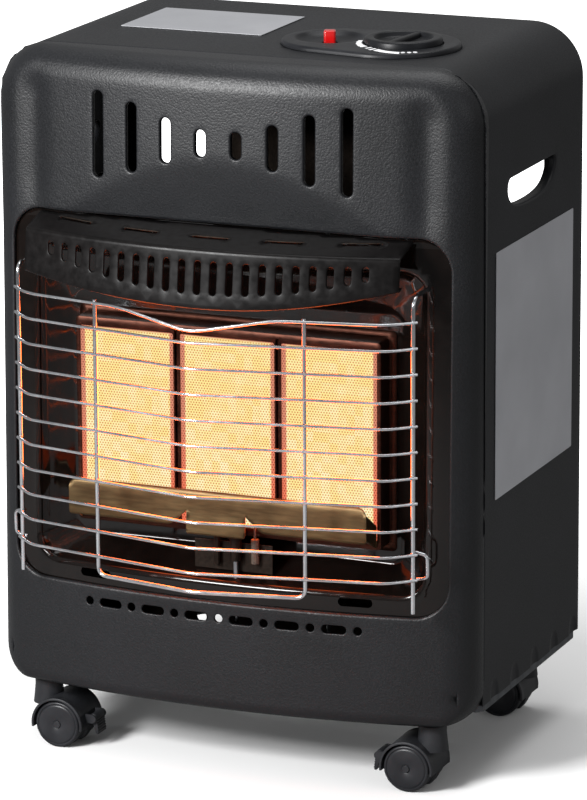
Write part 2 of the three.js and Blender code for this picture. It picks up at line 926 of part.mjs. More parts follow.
function valveBody() {
  const box = roundedBox(
    knobX - valve.width / 2,
    knob.y - valve.depth / 2,
    knobX + valve.width / 2,
    knob.y + valve.depth / 2,
    valve.portRadius / 2,
  );
  const body = raised(box, valveBottom, valveTop);
  const flange = block(
    knobX - valve.flangeHalf,
    knob.y - valve.flangeReach,
    valveTop - valve.flangeThick,
    knobX + valve.flangeHalf,
    knob.y + valve.flangeReach,
    valveTop + fit,
  );
  const posts = [-1, 1].map((sign) =>
    rod(valve.postRadius, valveTop, bezelUnder - fit, knobX, knob.y + sign * valve.postReach, smallRound),
  );
  const bore = rod(
    valve.drumRadius + valve.drumClear,
    drumBottom - valve.drumClear,
    drumTop + valve.drumClear,
    knobX,
    knob.y,
    closeRound,
  );
  const neckTop = valveTop + valve.flangeThick;
  const neck = rod(spindle.radius + spindle.clear, drumTop - fit, neckTop, knobX, knob.y);
  const feed = swept(
    [
      vec(knobX, knob.y - valve.depth / 2 + fit, feedZ),
      vec(knobX, knob.y - valve.depth / 2 - valve.portReach, feedZ),
    ],
    valve.feedPort,
    smallRound,
  );
  const intake = swept(
    [
      vec(knobX, knob.y + valve.depth / 2 - fit, feedZ),
      vec(knobX, knob.y + valve.depth / 2 + valve.portReach, feedZ),
    ],
    valve.portRadius,
    smallRound,
  );
  const side = knobX - valve.width / 2;
  const pilotOut = swept(
    [vec(side + fit, knob.y, feedZ), vec(side - valve.portReach, knob.y, feedZ)],
    valve.pilotPort,
    smallRound,
  );
  const sockets = [
    swept(
      [
        vec(knobX, knob.y - valve.depth / 2 - valve.portReach / 2, feedZ),
        vec(knobX, knob.y - valve.depth / 2 - 2 * valve.portReach, feedZ),
      ],
      pipe.feed + fit,
      pipe.sides,
    ),
    swept(
      [
        vec(knobX, knob.y + valve.depth / 2 + valve.portReach / 2, feedZ),
        vec(knobX, knob.y + valve.depth / 2 + 2 * valve.portReach, feedZ),
      ],
      pipe.inlet + fit,
      pipe.sides,
    ),
    swept(
      [vec(side - valve.portReach / 2, knob.y, feedZ), vec(side - 2 * valve.portReach, knob.y, feedZ)],
      pipe.pilot + fit,
      pipe.smallSides,
    ),
  ];
  return cut(join([body, flange, ...posts, feed, intake, pilotOut]), [bore, neck, ...sockets]);
}

const feedZ = (valveTop + valveBottom) / 2 - valve.portRadius / 2;

function valveDrum() {
  const drum = rod(valve.drumRadius, drumBottom, drumTop, knobX, knob.y, closeRound);
  const bore = rod(spindle.radius + spindle.clear, spindleBottom - knob.lift, drumTop + fit, knobX, knob.y);
  return drum.subtract(bore);
}

// Underside of the button dish, where the shoulder of the button rests and the igniter is held
const dishUnder = dishFloor - bezel.collarWall;

function buttonBody() {
  const top = wrapHeight + button.top;
  const soft = button.radius / 5;
  return turned(
    [
      [0, dishUnder - igniter.stemDrop],
      [button.stem, dishUnder - igniter.stemDrop],
      [button.stem, dishUnder],
      [button.radius, dishUnder],
      [button.radius, top - soft],
      [button.radius - soft, top],
      [0, top],
    ],
    buttonX,
    buttonY,
    smallRound,
  );
}

function igniterBody() {
  const top = dishUnder - fit;
  const piece = (radius, from, to) => rod(radius, from, to, buttonX, buttonY, smallRound);
  const body = piece(igniter.radius, igniterBottom, top);
  const collar = piece(igniter.collar, top - igniter.collarThick, top);
  const tip = piece(igniter.lead, igniterBottom - igniter.collar, igniterBottom + fit);
  const foot = dishUnder - button.travel - igniter.roomClear;
  const room = piece(button.radius + igniter.roomClear, foot, dishUnder);
  const bore = piece(
    button.stem + spindle.clear,
    dishUnder - igniter.stemDrop - button.travel - igniter.roomClear,
    dishUnder - button.travel,
  );
  return cut(join([body, collar, tip]), [room, bore]);
}

// Pan: one sheet pressed from the lap behind the window to the gate of the burners
function panBody() {
  const lapHalf = windowHalf + pan.lap;
  const lapLow = windowBox.bottom - pan.lap;
  const lapHigh = windowTop - pan.headGap;
  const under = (x, z) =>
    Math.max(
      -(reachAt(x, z) - sheet - fit - cover.grooveDepth),
      z > mouthTop ? facetY(windowTop) : -frontReach,
    );
  const mouth = (x) => -(reachAt(x, windowBox.bottom) - pan.mouthSink - cover.grooveDepth);
  const lapRing = (lift) =>
    frontRing(lapHalf, lapLow, lapHigh, windowBox.corner, windowBox.corner, (x, z) => under(x, z) + lift);
  const mouthRing = (grow, lift) =>
    frontRing(
      mouthHalf + grow,
      mouthBottom - grow,
      mouthTop + grow,
      pan.mouthCorner + grow,
      pan.mouthCorner + grow,
      (x) => mouth(x) + lift,
    );
  const backRing = (grow, y) =>
    frontRing(
      panBackHalf + grow,
      panBackBottom - grow,
      panBackTop + grow,
      pan.backCorner + grow,
      pan.backCorner + grow,
      () => y,
    );
  const body = loft([
    backRing(0, pan.backY),
    mouthRing(0, 0),
    lapRing(0),
    lapRing(sheet),
    mouthRing(sheet, sheet),
    backRing(sheet, pan.backY + sheet),
  ].reverse());
  const gate = runY(
    roundedBox(-gateHalf, gateBottom, gateHalf, gateTop, pan.backCorner / 2),
    pan.backY - sheet,
    pan.backY + 2 * sheet,
  );
  const slots = [-1, 1].map((sign) =>
    runY(
      stadium(
        sign * (mouthHalf - pan.slotInset), windowBox.bottom + pan.slotRise,
        pan.slotLength, pan.slotWidth, false,
      ),
      -2 * cover.reachAtBottom, 0,
    ),
  );
  const hooks = [];
  for (const sign of [-1, 1]) {
    for (const z of [hookHeight, footHeight]) {
      const eye = disc(sign * guardPost, z, guard.upright / 2 + fit);
      hooks.push(runY(eye, -2 * cover.reachAtBottom, 0, medium));
    }
  }
  const feedHole = rod(pipe.pilot + sheet, mouthBottom - pan.lap, gateBottom, pilot.x, pilot.y, fine);
  return cut(body, [gate, ...slots, ...hooks, feedHole]);
}

// Visor: level roof, fold and slotted apron, all bowed in plan
function visorBody() {
  const splits = 14;
  const rings = [];
  for (let i = 0; i <= splits; i += 1) {
    const x = visorHalf * ((2 * i) / splits - 1);
    const ridge = -visor.ridgeReach + visor.bow * x * x;
    const lip = -visor.lipReach + visor.bow * x * x;
    const root = Math.max(visor.rootInset - reachAt(x, rootHeight), facetY(windowTop) - sheet);
    const lipZ = lipHeight + visor.lipRise * x * x;
    rings.push([
      vec(x, root, rootHeight),
      vec(x, root, rootHeight + sheet),
      vec(x, ridge - sheet / 2, ridgeHeight + sheet),
      vec(x, ridge - sheet, ridgeHeight),
      vec(x, lip - sheet, lipZ),
      vec(x, lip, lipZ),
      vec(x, ridge, ridgeHeight),
    ]);
  }
  const body = loft(rings, true);
  const tools = [];
  const pitch = (2 * (visorHalf - visor.slotEdge)) / (visor.slots - 1);
  const slotTop = ridgeHeight - visor.slotDrop;
  for (let i = 0; i < visor.slots; i += 1) {
    const x = (i - (visor.slots - 1) / 2) * pitch;
    const low = lipHeight + visor.lipRise * x * x + visor.slotMargin;
    tools.push(
      runY(
        stadium(x, (slotTop + low) / 2, slotTop - low, visor.slotWidth, true),
        -2 * visor.lipReach,
        -visor.ventReach + visor.ventWidth,
        coarse,
      ),
    );
  }
  const ventX = visorHalf - visor.ventEdge;
  for (let i = 0; i < visor.ventCount; i += 1) {
    const x = -ventX + (2 * ventX * i) / (visor.ventCount - 1);
    tools.push(
      raised(
        stadium(x, -visor.ventReach + visor.bow * x * x, visor.ventLength, visor.ventWidth, false),
        ridgeHeight - sheet,
        rootHeight + 2 * sheet,
        coarse,
      ),
    );
  }
  return cut(body, tools);
}

// Guard: every wire welded to the uprights it crosses
function guardBody() {
  const pieces = [];
  const half = guard.wire / 2;
  const back = half + guard.upright / 2 - fit;
  const lineY = (x) => -guard.crest + ((guard.crest - guard.cornerReach) * Math.abs(x)) / guardCorner;
  const sides = 6;
  for (let i = 0; i < guard.count; i += 1) {
    const z = guardTop - i * guard.pitch;
    const corners = [
      vec(-guardEnd, -guard.endReach, z),
      vec(-guardCorner, -guard.cornerReach, z),
    ];
    if (i === 0) {
      corners.push(vec(-dipHalf, lineY(dipHalf), z));
      corners.push(vec(0, -guard.crest, z - guard.dip));
      corners.push(vec(dipHalf, lineY(dipHalf), z));
    } else {
      corners.push(vec(0, -guard.crest, z));
    }
    corners.push(vec(guardCorner, -guard.cornerReach, z), vec(guardEnd, -guard.endReach, z));
    pieces.push(swept(bent(corners, guard.bend, 1), half, sides));
  }
  const loop = bent(
    [
      vec(-guardInner, lineY(guardInner) + back, guardTop + guard.wire),
      vec(-guardInner, lineY(guardInner) + back, loopHeight),
      vec(0, -guard.crest + back, loopHeight),
      vec(guardInner, lineY(guardInner) + back, loopHeight),
      vec(guardInner, lineY(guardInner) + back, guardTop + guard.wire),
    ],
    guard.bend,
  );
  pieces.push(swept(loop, guard.upright / 2, sides));
  const rise = (guard.endReach - guard.cornerReach) / (guardEnd - guardCorner);
  const postY = -guard.cornerReach - rise * (guardPost - guardCorner) + back;
  for (const sign of [-1, 1]) {
    const post = bent(
      [
        vec(sign * guardPost, -guard.rootReach, hookHeight),
        vec(sign * guardPost, postY, hookHeight),
        vec(sign * guardPost, postY, footHeight),
        vec(sign * guardPost, -guard.rootReach, footHeight),
      ],
      guard.bend,
    );
    pieces.push(swept(post, guard.upright / 2, sides));
  }
  return join(pieces);
}

// Plaques, frame, burners
const plaqueX = (i) => (i - (plaque.count - 1) / 2) * plaquePitch;

function plaqueBody(i) {
  const half = plaqueWidth / 2;
  return runY(
    roundedBox(plaqueX(i) - half, plaqueBottom, plaqueX(i) + half, plaqueTop, plaque.corner),
    plaque.front,
    plaque.front + plaque.thick,
    1,
  );
}

function frameOutline(grow) {
  return roundedBox(-frameHalf - grow, frameBottom - grow, frameHalf + grow, frameTop + grow, frame.corner);
}

function frameBody() {
  const windows = [];
  for (let i = 0; i < plaque.count; i += 1) {
    const half = plaqueWidth / 2 + frame.clear;
    windows.push(
      runY(
        roundedBox(
          plaqueX(i) - half,
          plaqueBottom - frame.clear,
          plaqueX(i) + half,
          plaqueTop + frame.clear,
          plaque.corner,
        ),
        frame.front - fit,
        frame.back + fit,
        1,
      ),
    );
  }
  const seat = pan.backY - fit;
  const skirt = runY(frameOutline(0), frame.front, seat);
  const flange = runY(frameOutline(frame.flange), seat - sheet, seat);
  const room = runY(frameOutline(-frame.wall), frame.back, seat + fit);
  return cut(join([skirt, flange]), [room, ...windows]);
}

function burnerBody(i) {
  const x = plaqueX(i);
  const half = burnerWidth / 2;
  const front = frame.back + fit;
  const box = block(x - half, front, burnerBottom, x + half, burner.back, burnerTop);
  const seat = block(
    x - plaqueWidth / 2 - fit,
    front - fit,
    plaqueBottom - fit,
    x + plaqueWidth / 2 + fit,
    plaque.front + plaque.thick + fit,
    plaqueTop + fit,
  );
  const room = block(
    x - plaqueWidth / 2 + 3 * sheet,
    plaque.front + plaque.thick,
    plaqueBottom + 3 * sheet,
    x + plaqueWidth / 2 - 3 * sheet,
    burner.back - sheet,
    plaqueTop - 3 * sheet,
  );
  const throat = turned(
    [
      [0, burner.mouthHeight],
      [burner.bell, burner.mouthHeight],
      [burner.tube, burner.mouthHeight + burner.bell],
      [burner.tube, burnerBottom + sheet],
      [0, burnerBottom + sheet],
    ],
    x,
    manifold.y,
    smallRound,
  );
  const bore = turned(
    [
      [0, burner.mouthHeight - sheet],
      [burner.bell - sheet, burner.mouthHeight - sheet],
      [burner.tube - sheet, burner.mouthHeight + burner.bell],
      [burner.tube - sheet, burnerBottom + 4 * sheet],
      [0, burnerBottom + 4 * sheet],
    ],
    x,
    manifold.y,
    smallRound,
  );
  return cut(join([box, throat]), [seat, room, bore]);
}

function shieldBody() {
  const right = [
    [shield.tabHalf, shieldBottom - shield.tabDrop],
    [shield.tabHalf, shieldBottom + shield.notchRise],
    [shield.tabHalf + shield.notchWidth, shieldBottom],
    [shieldHalf, shieldBottom],
    [shieldHalf, shieldTop],
  ];
  const left = right.map(([x, z]) => [-x, z]).reverse();
  const plate = runY(polygon([...right, ...left]), shield.y, shield.y + sheet);
  const webs = [-shieldHalf, shieldHalf - sheet].map((edge) =>
    runX(
      polygon([
        [shield.y, shieldBottom],
        [frame.front - fit, shieldBottom - shield.webDrop],
        [frame.front - fit, shieldBottom + shield.webDrop],
        [shield.y, shieldTop],
      ]),
      edge,
      edge + sheet,
    ),
  );
  return join([plate, ...webs]);
}

function baffleBody() {
  const floor = base.bottom + base.sheet + fit;
  const right = [
    [baffleHalf - baffle.leg, baffle.bottom],
    [baffleHalf - baffle.leg, floor],
    [baffleHalf, floor],
    [baffleHalf, baffleShoulder],
    [baffle.neckHalf, baffleShoulder],
    [baffle.neckHalf, baffleTop],
  ];
  const left = right.map(([x, z]) => [-x, z]).reverse();
  const plate = runY(polygon([...right, ...left]), baffle.y, baffle.y + sheet);
  const wings = [-baffleHalf, baffleHalf - sheet].map((edge) =>
    block(
      edge, baffle.y + sheet / 2, floor,
      edge + sheet, baffle.y + baffle.foot, baffleShoulder - baffle.foot,
    ),
  );
  return join([plate, ...wings]);
}

function rearBody() {
  const from = wrapDepth + fit;
  const to = from + sheet;
  const panel = runY(
    roundedBox(-rearHalf, rear.bottom, rearHalf, rearTop, wrapCorner - flangeWidth),
    from,
    to,
    coarse,
  );
  const tools = [
    runY(
      roundedBox(-rearOpenHalf, rearOpenBottom, rearOpenHalf, rearOpenTop, rear.openCorner),
      from - fit,
      to + fit,
    ),
    runY(disc(inletX, inlet.z, inlet.tail + fit), from - fit, to + fit, medium),
  ];
  for (let row = 0; row < rear.slotRows; row += 1) {
    for (const sign of [-1, 1]) {
      tools.push(
        runY(
          stadium(
            sign * (rearSlotLength / 2 + rear.slotWidth),
            rearOpenBottom - rear.slotsBelow - row * rear.slotPitch,
            rearSlotLength,
            rear.slotWidth,
            false,
          ),
          from - fit,
          to + fit,
          coarse,
        ),
      );
    }
  }
  const heads = [];
  for (const sign of [-1, 1]) {
    for (const drop of rear.screwsBelow) {
      heads.push(
        solid(
          new THREE.LatheGeometry(
            [
              new THREE.Vector2(0, to - fit),
              new THREE.Vector2(rear.screwRadius, to - fit),
              new THREE.Vector2(rear.screwRadius, to + rear.screwHead / 3),
              new THREE.Vector2(rear.screwRadius / 2, to + rear.screwHead),
              new THREE.Vector2(0, to + rear.screwHead),
            ],
            fine,
          ).translate(sign * (rearHalf - rear.screwInset), 0, rearOpenBottom - drop),
        ),
      );
    }
  }
  return cut(join([panel, ...heads]), tools);
}

function baseBody() {
  const trayOf = (wall, low, high) =>
    join([
      raised(
        roundedBox(-baseHalf + wall, base.front + wall, baseHalf - wall, baseBack - wall, base.corner - wall),
        low,
        high,
      ),
      raised(
        roundedBox(
          -tongueHalf + wall,
          base.tongueFront + wall,
          tongueHalf - wall,
          baseBack / 2,
          base.corner - wall,
        ),
        low,
        high,
      ),
    ]);
  const tray = trayOf(0, base.bottom, base.bottom + base.wall);
  const room = trayOf(base.sheet, base.bottom + base.sheet, base.bottom + 2 * base.wall);
  const opening = raised(
    roundedBox(-baseOpenHalf, base.openFront, baseOpenHalf, baseBack - base.openBack, base.openCorner),
    base.bottom - base.sheet,
    base.bottom + 2 * base.sheet,
  );
  return cut(tray, [room, opening]);
}

function labelSide() {
  const from = wrapHalf + fit;
  return runX(
    roundedBox(
      sideLabel.margin, sideLabel.bottom, wrapDepth - sideLabel.margin,
      handTop - sideLabel.handGap, sideLabel.corner,
    ),
    from,
    from + sideLabel.thick,
    1,
  );
}

function labelTop() {
  const from = wrapHeight + fit;
  return raised(
    roundedBox(
      topLabel.side - wrapHalf, topLabel.front,
      topLabel.side - wrapHalf + topLabel.width, topLabel.front + topLabel.depth, topLabel.corner,
    ),
    from,
    from + sideLabel.thick,
    1,
  );
}

function manifoldBody() {
  const ends = [-manifoldHalf, manifoldHalf].map((x) => vec(x, manifold.y, manifold.z));
  const tube = swept(ends, manifold.radius, smallRound);
  const injectors = [];
  for (let i = 0; i < plaque.count; i += 1) {
    injectors.push(
      turned(
        [
          [0, manifold.z],
          [manifold.injectorRadius + sheet, manifold.z],
          [manifold.injectorRadius + sheet, manifold.z + manifold.radius + sheet],
          [manifold.injectorRadius, manifold.z + manifold.radius + sheet],
          [manifold.injectorRadius / 2, manifold.injectorTop],
          [0, manifold.injectorTop],
        ],
        plaqueX(i),
        manifold.y,
        fine,
      ),
    );
  }
  const socket = swept(
    [
      vec(manifoldHalf - manifold.radius, manifold.y, manifold.z),
      vec(manifoldHalf + manifold.radius, manifold.y, manifold.z),
    ],
    pipe.feed + fit,
    pipe.sides,
  );
  const straps = [-1, 1].map((sign) =>
    block(
      sign * (plaquePitch - manifold.strapInset) - manifold.strapHalf,
      manifold.y - sheet / 2,
      manifold.z,
      sign * (plaquePitch - manifold.strapInset) + manifold.strapHalf,
      manifold.y + sheet / 2,
      burnerBottom - fit,
    ),
  );
  return join([tube, ...injectors, ...straps]).subtract(socket);
}

// Front of the upright bracket that carries the pilot, the probe and the spark pin
const bracketFace = pilot.y + pilot.radius - sheet / 2;

function pilotBody() {
  const bracket = block(
    -pilot.bracket,
    bracketFace,
    pilotZ - pilot.foot,
    pilot.bracket + spark.x / 2,
    bracketFace + sheet,
    pilotZ + sheet,
  );
  const high = pilotZ + pilot.length / 2;
  const tube = rod(pilot.radius, pilotZ - pilot.length / 2, high, pilot.x, pilot.y, smallRound);
  const head = rod(pilot.hood, pilotZ + pilot.length / 4, high, pilot.x, pilot.y, smallRound);
  const socket = rod(
    pipe.pilot + fit,
    pilotZ - pilot.length,
    pilotZ - pilot.length / 4,
    pilot.x,
    pilot.y,
    pipe.smallSides,
  );
  return join([bracket, tube, head]).subtract(socket);
}

function probeBody() {
  return turned(
    [
      [0, pilotZ - probe.length / 2],
      [probe.radius, pilotZ - probe.length / 2],
      [probe.radius, pilotZ + probe.length / 4],
      [probe.tipRadius, pilotZ + probe.length / 3],
      [probe.tipRadius, pilotZ + probe.length / 2],
      [0, pilotZ + probe.length / 2],
    ],
    probe.x,
    bracketFace - fit - probe.radius,
    fine,
  );
}

function sparkBody() {
  const y = bracketFace - fit - spark.radius;
  const sleeve = rod(spark.radius, pilotZ - spark.length / 2, pilotZ + spark.length / 4, spark.x, y, fine);
  const pin = rod(
    spark.pinRadius,
    pilotZ + spark.length / 4 - fit,
    pilotZ + spark.length / 4 + spark.pinLength,
    spark.x,
    y,
    pipe.smallSides,
  );
  return join([sleeve, pin]);
}

function tipSwitchBody() {
  const x0 = tipSwitchX - tipSwitch.width / 2;
  const y0 = tipSwitch.y - tipSwitch.depth / 2;
  const floor = base.bottom + base.sheet + fit;
  const box = raised(
    roundedBox(x0, y0, x0 + tipSwitch.width, y0 + tipSwitch.depth, tipSwitch.corner),
    floor,
    floor + tipSwitch.height,
  );
  const foot = block(
    x0 - tipSwitch.foot,
    y0 + tipSwitch.corner,
    floor,
    x0 + tipSwitch.width + tipSwitch.foot,
    y0 + tipSwitch.depth - tipSwitch.corner,
    floor + tipSwitch.footThick,
  );
  return join([box, foot]);
}

// Pipes
function feedPipe() {
  const start = knob.y - valve.depth / 2 - valve.portReach / 2 - fit;
  const lane = manifoldHalf + 2 * pipe.bend;
  return swept(
    bent(
      [
        vec(knobX, start, feedZ),
        vec(knobX, start - 2 * pipe.bend, feedZ),
        vec(lane, start - 2 * pipe.bend, feedZ - 2 * pipe.bend),
        vec(lane, manifold.y + pipe.bend, manifold.z + 2 * pipe.bend),
        vec(lane, manifold.y, manifold.z),
        vec(manifoldHalf - manifold.radius + fit, manifold.y, manifold.z),
      ],
      pipe.bend / 2,
    ),
    pipe.feed,
    pipe.sides,
  );
}

function inletPipe() {
  const start = knob.y + valve.depth / 2 + valve.portReach / 2 + fit;
  const lane = start + 3 * pipe.bend;
  return swept(
    bent(
      [
        vec(knobX, start, feedZ),
        vec(knobX, lane, feedZ),
        vec(inletX, lane, inlet.z),
        vec(inletX, wrapDepth - inlet.hexLength / 2 - fit, inlet.z),
      ],
      pipe.bend,
    ),
    pipe.inlet,
    pipe.sides,
  );
}

function pilotPipe() {
  const start = knobX - valve.width / 2 - valve.portReach / 2 - fit;
  const lane = baffle.y - pipe.bend;
  return swept(
    bent(
      [
        vec(start, knob.y, feedZ),
        vec(start - pipe.bend, knob.y, feedZ),
        vec(start - pipe.bend, lane / 2, feedZ - pipe.bend),
        vec(start - pipe.bend, lane / 2, manifold.z - 2 * pipe.bend),
        vec(pilot.x, pilot.y, manifold.z - 2 * pipe.bend),
        vec(pilot.x, pilot.y, pilotZ - pilot.length / 4 - fit),
      ],
      pipe.bend / 2,
    ),
    pipe.pilot,
    pipe.smallSides,
  );
}

function inletFitting() {
  const hexagon = [];
  for (let i = 0; i < 6; i += 1) {
    const angle = (i / 6) * full;
    hexagon.push([inletX + inlet.hex * Math.cos(angle), inlet.z + inlet.hex * Math.sin(angle)]);
  }
  const nut = runY(polygon(hexagon), wrapDepth - inlet.hexLength, wrapDepth);
  const neck = runY(disc(inletX, inlet.z, inlet.tail), wrapDepth - fit, wrapDepth + inlet.proud, medium);
  const boreStart = wrapDepth - inlet.hexLength / 3;
  const boreEnd = wrapDepth + inlet.proud + fit;
  const bore = runY(disc(inletX, inlet.z, inlet.bore), boreStart, boreEnd, medium);
  const socket = runY(
    disc(inletX, inlet.z, pipe.inlet + fit),
    wrapDepth - 2 * inlet.hexLength,
    wrapDepth - inlet.hexLength / 2,
    medium,
  );
  return cut(join([nut, neck]), [bore, socket]);
}

// Castors, drawn about their swivel axis with the axle along Y, then placed
const axleZ = castor.floor + castor.wheelRadius;

function castorMount() {
  const plateTop = base.bottom - fit;
  const plate = rod(castor.plateRadius, plateTop - castor.plateThick, plateTop, 0, 0, smallRound);
  const race = rod(castor.raceRadius, castor.neckTop + fit, plateTop, 0, 0, smallRound);
  const stem = rod(castor.stemRadius, castor.stemBottom, plateTop - castor.plateThick / 2, 0, 0);
  return join([plate, race, stem]);
}

// Where the brake lever turns, from the swivel axis of a castor
const brakeX = castor.trail + castor.hoodRadius + brake.gap + brake.knuckle;
const brakeZ = axleZ + brake.rise;

function castorHood(towards, braked) {
  const centre = towards * castor.trail;
  const far = 2 * castor.hoodRadius;
  const shell = runY(disc(centre, axleZ, castor.hoodRadius), -castor.hoodHalf, castor.hoodHalf, fine);
  const room = runY(
    disc(centre, axleZ, castor.hoodRadius - castor.hoodWall),
    -castor.hoodHalf - fit,
    castor.hoodHalf + fit,
    fine,
  );
  const below = block(centre - far, -far, axleZ - far, centre + far, far, axleZ - castor.hoodCut);
  const arch = cut(shell, [room, below]);
  const core = runY(disc(centre, axleZ, castor.hoodRadius - fit), -castor.coreHalf, castor.coreHalf, medium);
  const underCore = block(centre - far, -far, axleZ - far, centre + far, far, castor.floor + castor.hoodCut);
  const neck = rod(castor.neckRadius, axleZ, castor.neckTop, 0, 0, smallRound).subtract(room);
  const axle = runY(disc(centre, axleZ, castor.axle), fit - castor.hoodHalf, castor.hoodHalf - fit, medium);
  const pieces = [arch, core.subtract(underCore), neck, axle];
  if (braked) {
    const side = brake.width / 2 + brake.gap;
    const inner = towards * (castor.trail + castor.hoodRadius - brake.lugSink);
    const outer = towards * brakeX;
    const low = brakeZ - brake.knuckle;
    const high = brakeZ + brake.knuckle;
    for (const y of [-side - brake.lug, side]) {
      pieces.push(block(Math.min(inner, outer), y, low, Math.max(inner, outer), y + brake.lug, high));
      pieces.push(runY(disc(outer, brakeZ, brake.knuckle), y, y + brake.lug, medium));
    }
    pieces.push(runY(disc(outer, brakeZ, brake.pivot), -side - brake.lug / 2, side + brake.lug / 2, medium));
  }
  const bore = rod(
    castor.stemRadius + castor.stemClear,
    castor.stemBottom - castor.stemClear,
    castor.neckTop + fit,
    0,
    0,
  );
  return join(pieces).subtract(bore);
}

function castorWheel(towards, side) {
  const centre = towards * castor.trail;
  const near = castor.coreHalf + fit;
  const far = near + castor.wheelWidth;
  const profile = [
    [castor.axle + castor.axleClear, near],
    [castor.wheelRadius - castor.tread, near],
    [castor.wheelRadius, near + castor.tread],
    [castor.wheelRadius, far - castor.tread],
    [castor.wheelRadius - castor.tread, far],
    [castor.axle + castor.axleClear, far],
    [castor.axle + castor.axleClear, near],
  ];
  const points = profile.map(([r, w]) => new THREE.Vector2(r, w));
  const geometry = new THREE.LatheGeometry(points, castor.sides);
  if (side < 0) {
    geometry.rotateX(2 * quarter);
  }
  return solid(geometry.translate(centre, 0, axleZ));
}

function brakeLever(towards) {
  const hinge = towards * brakeX;
  const half = brake.width / 2;
  const barrel = runY(disc(hinge, brakeZ, brake.knuckle), -half, half, medium);
  const outline = [
    [hinge, brakeZ],
    [hinge + towards * brake.knuckle, brakeZ],
    [hinge + towards * brake.toe, brakeZ - brake.drop],
    [hinge + towards * (brake.toe - brake.thick), brakeZ - brake.drop],
  ];
  const pad = runY(polygon(towards > 0 ? outline.reverse() : outline), -half, half);
  const bore = runY(disc(hinge, brakeZ, brake.pivot + brake.pivotClear), -brake.width, brake.width, fine);
  return join([barrel, pad]).subtract(bore);
}

// Nodes
const group = new THREE.Group();
const floorLift = -castor.floor;
const backReach = wrapDepth + fit + sheet + rear.screwHead;
const middleShift = (frontReach - backReach) / 2;

function add(name, body, material) {
  const mesh = new THREE.Mesh(geometryOf(body), material);
  mesh.geometry.translate(0, middleShift, floorLift);
  mesh.name = name;
  group.add(mesh);
}

const paint = (colour, roughness, metalness) =>
  new THREE.MeshStandardMaterial({ color: colour, roughness, metalness });
const powderCoat = () => paint(0x2c2d31, 0.6, 0.3);
const enamel = () => paint(0x0d0a09, 0.15, 0.1);
const chrome = () => paint(0xd8dade, 0.15, 1);
const ceramic = () => paint(0xffc060, 0.8, 0);
const burnerSteel = () => paint(0x6d4a3c, 0.5, 0.8);
const plating = () => paint(0xa9acb0, 0.4, 0.9);
const blackPlastic = () => paint(0x1c1d1f, 0.5, 0);
const brassMetal = () => paint(0xb08d4a, 0.35, 1);

add("wrap", wrap(), powderCoat());
add("front_cover", frontCover(), powderCoat());
add("rear_panel", rearBody(), powderCoat());
add("base_tray", baseBody(), plating());
add("enamel_pan", panBody(), enamel());
add("visor", visorBody(), enamel());
add("wire_guard", guardBody(), chrome());
const sides = ["left", "middle", "right"];
sides.forEach((side, i) => {
  add(`plaque_${side}`, plaqueBody(i), ceramic());
  add(`burner_${side}`, burnerBody(i), plating());
});
add("plaque_frame", frameBody(), burnerSteel());
add("deflector_shield", shieldBody(), burnerSteel());
add("inner_baffle", baffleBody(), plating());
add("gas_manifold", manifoldBody(), brassMetal());
add("pilot_burner", pilotBody(), plating());
add("thermo_probe", probeBody(), brassMetal());
add("spark_pin", sparkBody(), ceramic());
add("gas_valve", valveBody(), plating());
add("valve_drum", valveDrum(), brassMetal());
add("valve_spindle", spindleBody(), plating());
add("control_knob", knobBody(), blackPlastic());
add("control_bezel", bezelBody(), blackPlastic());
add("igniter_button", buttonBody(), paint(0xb01010, 0.3, 0));
add("igniter_body", igniterBody(), blackPlastic());
add("feed_pipe", feedPipe(), plating());
add("inlet_pipe", inletPipe(), plating());
add("pilot_pipe", pilotPipe(), plating());
add("inlet_fitting", inletFitting(), brassMetal());
add("tip_switch", tipSwitchBody(), blackPlastic());
add("side_label", labelSide(), plating());
add("top_label", labelTop(), plating());
const castors = [
  { tag: "front_left", x: -castorX, y: castor.frontY, towards: 1, brake: true },
  { tag: "front_right", x: castorX, y: castor.frontY, towards: -1, brake: true },
  { tag: "rear_left", x: -castorX, y: castorBack, towards: 1, brake: false },
  { tag: "rear_right", x: castorX, y: castorBack, towards: -1, brake: false },
];
for (const { tag, x, y, towards, brake: braked } of castors) {
  const place = (body) => body.translate([x, y, 0]);
  add(`castor_mount_${tag}`, place(castorMount()), plating());
  add(`castor_hood_${tag}`, place(castorHood(towards, braked)), blackPlastic());
  add(`wheel_a_${tag}`, place(castorWheel(towards, -1)), blackPlastic());
  add(`wheel_b_${tag}`, place(castorWheel(towards, 1)), blackPlastic());
  if (braked) {
    add(`brake_lever_${tag}`, place(brakeLever(towards)), blackPlastic());
  }
}

export default group;
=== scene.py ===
"""Portable propane cabinet heater: a pressed steel cabinet, three glowing ceramic plaques behind a bowed
wire guard, a control panel on top and four twin-wheel castors. Shapes are drawn in millimetres from the
seam between cover and wrap (Y = 0) and the lower edge of the wrap (Z = 0); make_piece sets them in the
row frame in metres."""

import math

import bmesh
import bpy
import numpy as np
from mathutils import Matrix, Vector
from mathutils.geometry import delaunay_2d_cdt


